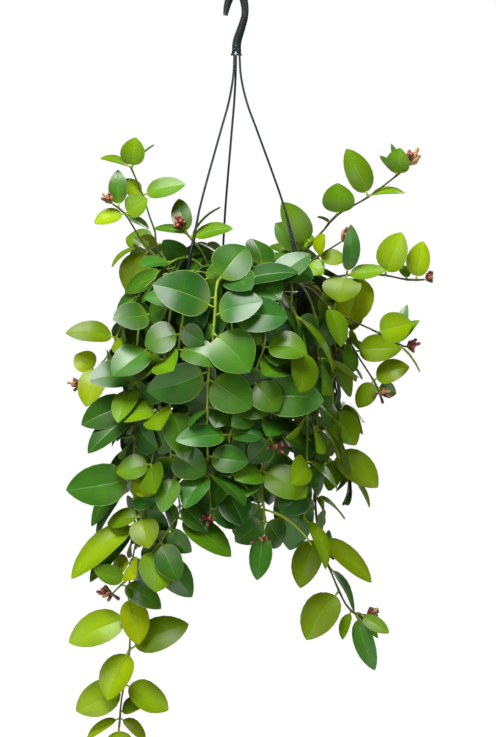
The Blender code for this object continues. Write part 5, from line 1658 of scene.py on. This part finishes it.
def dress_arms():
    """Three copies of the arm, each turned to its place round the pot."""
    template = arm_shape()
    for name, azimuth in ARM_AZIMUTHS.items():
        arm = copy_of(template, "arm_" + name)
        arm.data.transform(Matrix.Rotation(math.radians(azimuth), 4, "Z"))
        made = joined([arm], "hanger_arm_" + name)
        stands_for(made, "arm_" + name)
    bpy.data.objects.remove(template)


def spun(name, profile, steps, skin):
    """A turned piece: its profile is drawn point by point as (radius, z), then spun round Z."""
    bpy.ops.mesh.primitive_plane_add(size=MM, location=(0, 0, 0))
    made = settled(bpy.context.object, name, skin)
    marked(made, "VERT", lambda point: True)
    bpy.ops.mesh.merge(type="CENTER")
    here = Vector((0, 0, 0))
    for i, (radius, z) in enumerate(profile):
        there = Vector((radius, 0, z)) * MM
        if i:
            bpy.ops.mesh.extrude_region_move(TRANSFORM_OT_translate={"value": there - here})
        else:
            bpy.ops.transform.translate(value=there)
        here = there
    bpy.ops.mesh.select_all(action="SELECT")
    bpy.ops.mesh.spin(steps=steps, angle=math.tau, center=(0, 0, 0), axis=(0, 0, 1))
    bpy.ops.mesh.select_all(action="SELECT")
    bpy.ops.mesh.remove_doubles(threshold=0.00002)
    bpy.ops.mesh.normals_make_consistent(inside=False)
    object_mode()
    return made


def wall_radius(depth):
    """The outer radius of the pot's wall, at a depth below the rim."""
    share = (depth - RIM_DEEP) / (POT_HEIGHT - RIM_DEEP)
    return WALL_TOP_RADIUS + (BASE_RADIUS - WALL_TOP_RADIUS) * share


def dress_pot():
    """The pot: a tapered cup with a rolled rim, two faint ribs and a foot ring."""
    floor, rim = POT_HEIGHT - FLOOR_UP, RIM_Z
    lip, foot = wall_radius(RIM_DEEP), wall_radius(POT_HEIGHT)
    profile = [(0, rim - floor),
               (wall_radius(floor) - WALL - EDGE, rim - floor),
               (wall_radius(floor - EDGE) - WALL, rim - floor + EDGE),
               (lip - WALL, rim - RIM_DEEP - 1),
               (lip - WALL + 0.4, rim - 1),
               (lip + 0.2, rim),
               (RIM_RADIUS - EDGE / 2, rim),
               (RIM_RADIUS, rim - EDGE / 2),
               (RIM_RADIUS, rim - RIM_DEEP + 0.6),
               (lip, rim - RIM_DEEP)]
    for depth in POT_RIBS:
        profile += [(wall_radius(depth - RIB_HALF), rim - depth + RIB_HALF),
                    (wall_radius(depth) + RIB_RISE, rim - depth),
                    (wall_radius(depth + RIB_HALF), rim - depth - RIB_HALF)]
    profile += [(wall_radius(POT_HEIGHT - EDGE), rim - POT_HEIGHT + EDGE),
                (foot - EDGE, rim - POT_HEIGHT),
                (foot - FOOT_WIDE, rim - POT_HEIGHT),
                (foot - FOOT_WIDE - 1, rim - POT_HEIGHT + FOOT_UP),
                (0, rim - POT_HEIGHT + FOOT_UP)]
    pot = spun("glossy_pot", profile, POT_STEPS, "pot plastic")
    rounded(pot, 0.5, angle=25)
    stands_for(pot, "pot")


def chip_shapes():
    """Three bark chips: flattened blocks with worn edges and no two corners alike."""
    shapes = []
    for i, size in enumerate(CHIP_SIZES):
        bpy.ops.mesh.primitive_cube_add(size=1, scale=Vector(size) * MM)
        chip = settled(bpy.context.object, "chip", "bark chips")
        marked(chip, "FACE", lambda face: abs(face.normal.z) > 0.9)
        bpy.ops.mesh.inset(thickness=0.5 * MM)
        bpy.ops.transform.vertex_random(offset=0.5 * MM, seed=i + 3)
        bpy.ops.mesh.select_all(action="SELECT")
        bpy.ops.transform.vertex_random(offset=0.4 * MM, seed=i + 8)
        object_mode()
        shapes.append(chip)
    return shapes


def soil_height(x, y):
    """How far the soil's top lies from level, in millimetres."""
    broad = noise_at(Vector((x * 28, y * 28, 1.7)))
    fine = noise_at(Vector((x * 150, y * 150, 4.2)))
    return broad * 1.3 + fine * 0.9


def dress_soil(draw):
    """Potting mix with a low crumbly crown, and bark chips half sunk in it."""
    depth = POT_HEIGHT - FLOOR_UP
    floor, top = RIM_Z - depth, RIM_Z - SOIL_DOWN
    inset = WALL + SOIL_INSET
    side = wall_radius(SOIL_DOWN + 3) - inset
    foot = floor + SOIL_LIFT
    profile = [(0, foot), (wall_radius(depth) - inset - EDGE, foot),
               (wall_radius(depth - EDGE) - inset, foot + EDGE), (side, top - SOIL_SHOULDER)]
    for i in range(SOIL_RINGS + 1):
        radius = (side - 2) * (1 - i / SOIL_RINGS)
        profile.append((radius, top - 1.2 + SOIL_CROWN * (1 - radius / side)))
    soil = spun("soil_body", profile, SOIL_STEPS, "potting mix")
    places = coordinates(soil.data)
    for place in places:
        if place[2] > (top - 2) * MM:
            place[2] += (soil_height(place[0], place[1]) - 0.3) * MM
    set_coordinates(soil.data, places)
    bpy.ops.object.shade_smooth()
    pieces = [soil]
    shapes = chip_shapes()
    for i in range(CHIPS):
        chip = copy_of(shapes[i % len(shapes)], "chip")
        reach = (side - CHIPS_INSET) * math.sqrt(draw.random()) * MM
        angle = draw.uniform(0, math.tau)
        x, y = reach * math.cos(angle), reach * math.sin(angle)
        height = top - 1.0 + SOIL_CROWN * (1 - reach / (side * MM)) + soil_height(x, y)
        turn = Matrix.Rotation(draw.uniform(0, math.tau), 4, "Z")
        for tilt, axis in zip(CHIP_TILTS, "XY"):
            turn = turn @ Matrix.Rotation(draw.uniform(-tilt, tilt), 4, axis)
        chip.data.transform(Matrix.Translation((x, y, height * MM)) @ turn)
        pieces.append(chip)
    for shape in shapes:
        bpy.data.objects.remove(shape)
    stands_for(joined(pieces, "potting_mix"), "soil")


def node_shape(name):
    """Points and triangles of a plain solid, for keeping leaves clear of it."""
    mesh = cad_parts[name].data
    mesh.calc_loop_triangles()
    points = [corner.co.copy() for corner in mesh.vertices]
    return points, [tuple(face.vertices) for face in mesh.loop_triangles]


def lay_out():
    """The stems, bud clusters and leaves, by the rules that placed the plain solids."""
    taken = Taken()
    for name in ("hook", "pot", "arm_right", "arm_rear", "arm_left"):
        taken.add(name, *node_shape(name))
    vines = SHOOTS + [skirt_vine(i, *row) for i, row in enumerate(SKIRT)]
    stems = rooted(vines, taken)
    taken.add("soil", *node_shape("soil"))
    clusters = []
    for index, (one, stem) in enumerate(zip(vines, stems)):
        if one.buds:
            draw = random.Random(SEED + BUD_DRAW + index)
            centre, tips = bud_cluster(stem, one.buds, draw)
            clusters.append((one, stem, centre))
            for tip in tips:
                shell = tube_shell([centre, tip], [BUD_RADIUS * MM] * 2, 0)
                taken.add(one.name + " buds", *shell)
    return vines, stems, clusters, place_leaves(vines, stems, taken), taken


def inner_leaf_choices(stem, place, hand, length, draw):
    """Leaves that hang on the stem's inner side, towards the pot."""
    base, along = stem.at(place)
    away = outward(base)
    side = along.cross(away)
    side = (side if side.length > 0.2 else away.cross(UP)).normalized() * hand
    for attempt in range(RULE_TRIES):
        ease = attempt / RULE_TRIES
        heading = (side * draw.uniform(0.35, 1.0) - UP * draw.uniform(0.3, 1.0)
                   - away * draw.uniform(0.05, 0.45)).normalized()
        reach = length * (1 - RULE_SHORTER * ease) * MM
        face = away + UP * draw.uniform(0.0, 0.6) + side * draw.uniform(-0.4, 0.4)
        yield Leaf(base, base + heading * reach, square_to(face, heading),
                   reach * draw.uniform(*RULE_WIDTH))


def thicken(vines, stems, grown, taken):
    """More leaves on the inner side of the hanging stems, where they find room."""
    inner = {one.name: [] for one in vines}
    for index, (one, stem) in enumerate(zip(vines, stems)):
        draw = random.Random(SEED + INNER_DRAW + index)
        own = Taken()
        for leaf in grown[one.name]:
            points, faces = leaf_solid(leaf)
            own.add("blade", points, faces[ROOT_FACES:])
        last = len(stem.route) - stem.lead - 1
        length = stem.length(stem.lead, len(stem.route) - 1)
        count = max(2, round(length / (FILL_SPACING * MM)))
        for i in range(count):
            place = last * (i + 0.5) / count
            base, _ = stem.at(place)
            if math.hypot(base.x, base.y) > BUSH_REACH or not BUSH_FOOT < base.z < BUSH_TOP:
                continue
            for hand in (1, -1):
                size = draw.uniform(*FILL_LENGTH)
                choices = inner_leaf_choices(stem, place, hand, size, draw)
                leaf = settle(choices, one.name, taken, own, False)
                if leaf and not over_rim(leaf):
                    take_up(leaf, one.name, taken, own)
                    inner[one.name].append(leaf)
    return inner


def over_rim(leaf):
    """Whether a leaf would hide the clip and the rim that show on the pot's right front."""
    middle = (leaf.base + leaf.tip) / 2
    return (RIM_VIEW_X[0] < middle.x < RIM_VIEW_X[1] and RIM_VIEW_Z[0] < middle.z < RIM_VIEW_Z[1]
            and middle.y < 0)


def white_world(scene):
    """White where the camera looks past everything, and dimmer as a light."""
    world = bpy.data.worlds.new("studio")
    world.use_nodes = True
    tree = world.node_tree
    seen = add(tree, "ShaderNodeLightPath").outputs["Is Camera Ray"]
    tree.nodes["Background"].inputs["Color"].default_value = (1, 1, 1, 1)
    tree.links.new(between(seen, 0.0, 1.0, WORLD_LIGHT, 1.0),
                   tree.nodes["Background"].inputs["Strength"])
    scene.world = world


def pale_floor():
    """A floor far below the plant, which glows for the camera so that it looks white."""
    bpy.ops.mesh.primitive_circle_add(vertices=64, radius=FLOOR_RADIUS, fill_type="NGON",
                                      location=(0, 0, FLOOR_Z))
    floor = bpy.context.object
    floor.name = "studio_floor"
    made, tree, shader = new_material("studio floor")
    tone = noise(object_place(tree), 1.5)
    seen = add(tree, "ShaderNodeLightPath").outputs["Is Camera Ray"]
    socket_value(shader, {"Base Color": ramp(tone, ((0.0, (0.86, 0.86, 0.86)),
                                                    (1.0, (0.90, 0.90, 0.90)))),
                          "Emission Strength": between(seen, 0.0, 1.0, 0.0, FLOOR_GLOW)})
    shader.inputs["Roughness"].default_value = 0.9
    shader.inputs["Emission Color"].default_value = (1, 1, 1, 1)
    floor.data.materials.append(made)


def soft_lamps(scene):
    """Round area lamps above, beside and behind the plant, all aimed at its middle."""
    for name, place, size, power in LAMPS:
        light = bpy.data.lights.new(name, "AREA")
        light.shape = "DISK"
        light.size = size
        light.energy = power
        lamp = bpy.data.objects.new(name, light)
        lamp.location = place
        aim = Vector(LAMP_AIM) - Vector(place)
        lamp.rotation_euler = aim.to_track_quat("-Z", "Y").to_euler()
        scene.collection.objects.link(lamp)


def photo_camera(scene):
    """The camera at the photo's angle, far off, as the photo shows next to no perspective."""
    camera = bpy.data.cameras.new("camera")
    camera.lens = camera.sensor_width / 2 / (VIEW_HALF / CAMERA_AWAY)
    seat = bpy.data.objects.new("camera", camera)
    target = Vector(CAMERA_AIM)
    tilt = math.radians(CAMERA_TILT)
    seat.location = target + Vector((0, -math.cos(tilt), math.sin(tilt))) * CAMERA_AWAY
    seat.rotation_euler = (target - seat.location).to_track_quat("-Z", "Y").to_euler()
    scene.collection.objects.link(seat)
    scene.camera = seat


def studio():
    """White surroundings, a pale floor, soft lamps and the camera."""
    scene = bpy.context.scene
    scene.view_settings.view_transform = "Standard"
    white_world(scene)
    pale_floor()
    soft_lamps(scene)
    photo_camera(scene)


studio()
SKINS = {made.name: made for made in (leaf_face(), leaf_back(), stem_skin(), bud_skin(),
                                      moulded_plastic(), pot_plastic(), potting_mix(),
                                      bark_skin())}
dress_hook()
dress_arms()
dress_pot()
dress_soil(random.Random(SEED + SOIL_DRAW))
BLADES = {False: blade_shape(BLADE_ROWS, BLADE_SPREAD),
          True: blade_shape(LARGE_ROWS, LARGE_SPREAD)}
STALK_SHAPE = stalk_shape()
BUD_SHAPE = bud_shape()
vines, stems, clusters, grown, taken = lay_out()
turn_edge_on(vines, grown, taken)
inner = thicken(vines, stems, grown, taken)
draw = random.Random(SEED + LOOKS_DRAW)
lines = [fine_line(stem) for stem in stems]
placed = Taken()
for one, stem in zip(vines, stems):
    placed.add(one.name + " stem", *tube_shell(stem.points, stem.radii, 0))
dressed = [dress_leaves(one, line, grown[one.name], False, placed, draw)
           for one, line in zip(vines, lines)]
for one, line, (pieces, bases) in zip(vines, lines, dressed):
    more_pieces, more_bases = dress_leaves(one, line, inner[one.name], True, placed, draw)
    whole = joined([fine_stem(one, line, bases + more_bases)] + pieces + more_pieces,
                   one.name + "_leaves")
    stands_for(whole, one.name)
for one, stem, centre in clusters:
    dress_buds(one, stem, centre, draw)
for template in (*BLADES.values(), STALK_SHAPE, BUD_SHAPE):
    bpy.data.objects.remove(template)

bpy.context.view_layer.update()
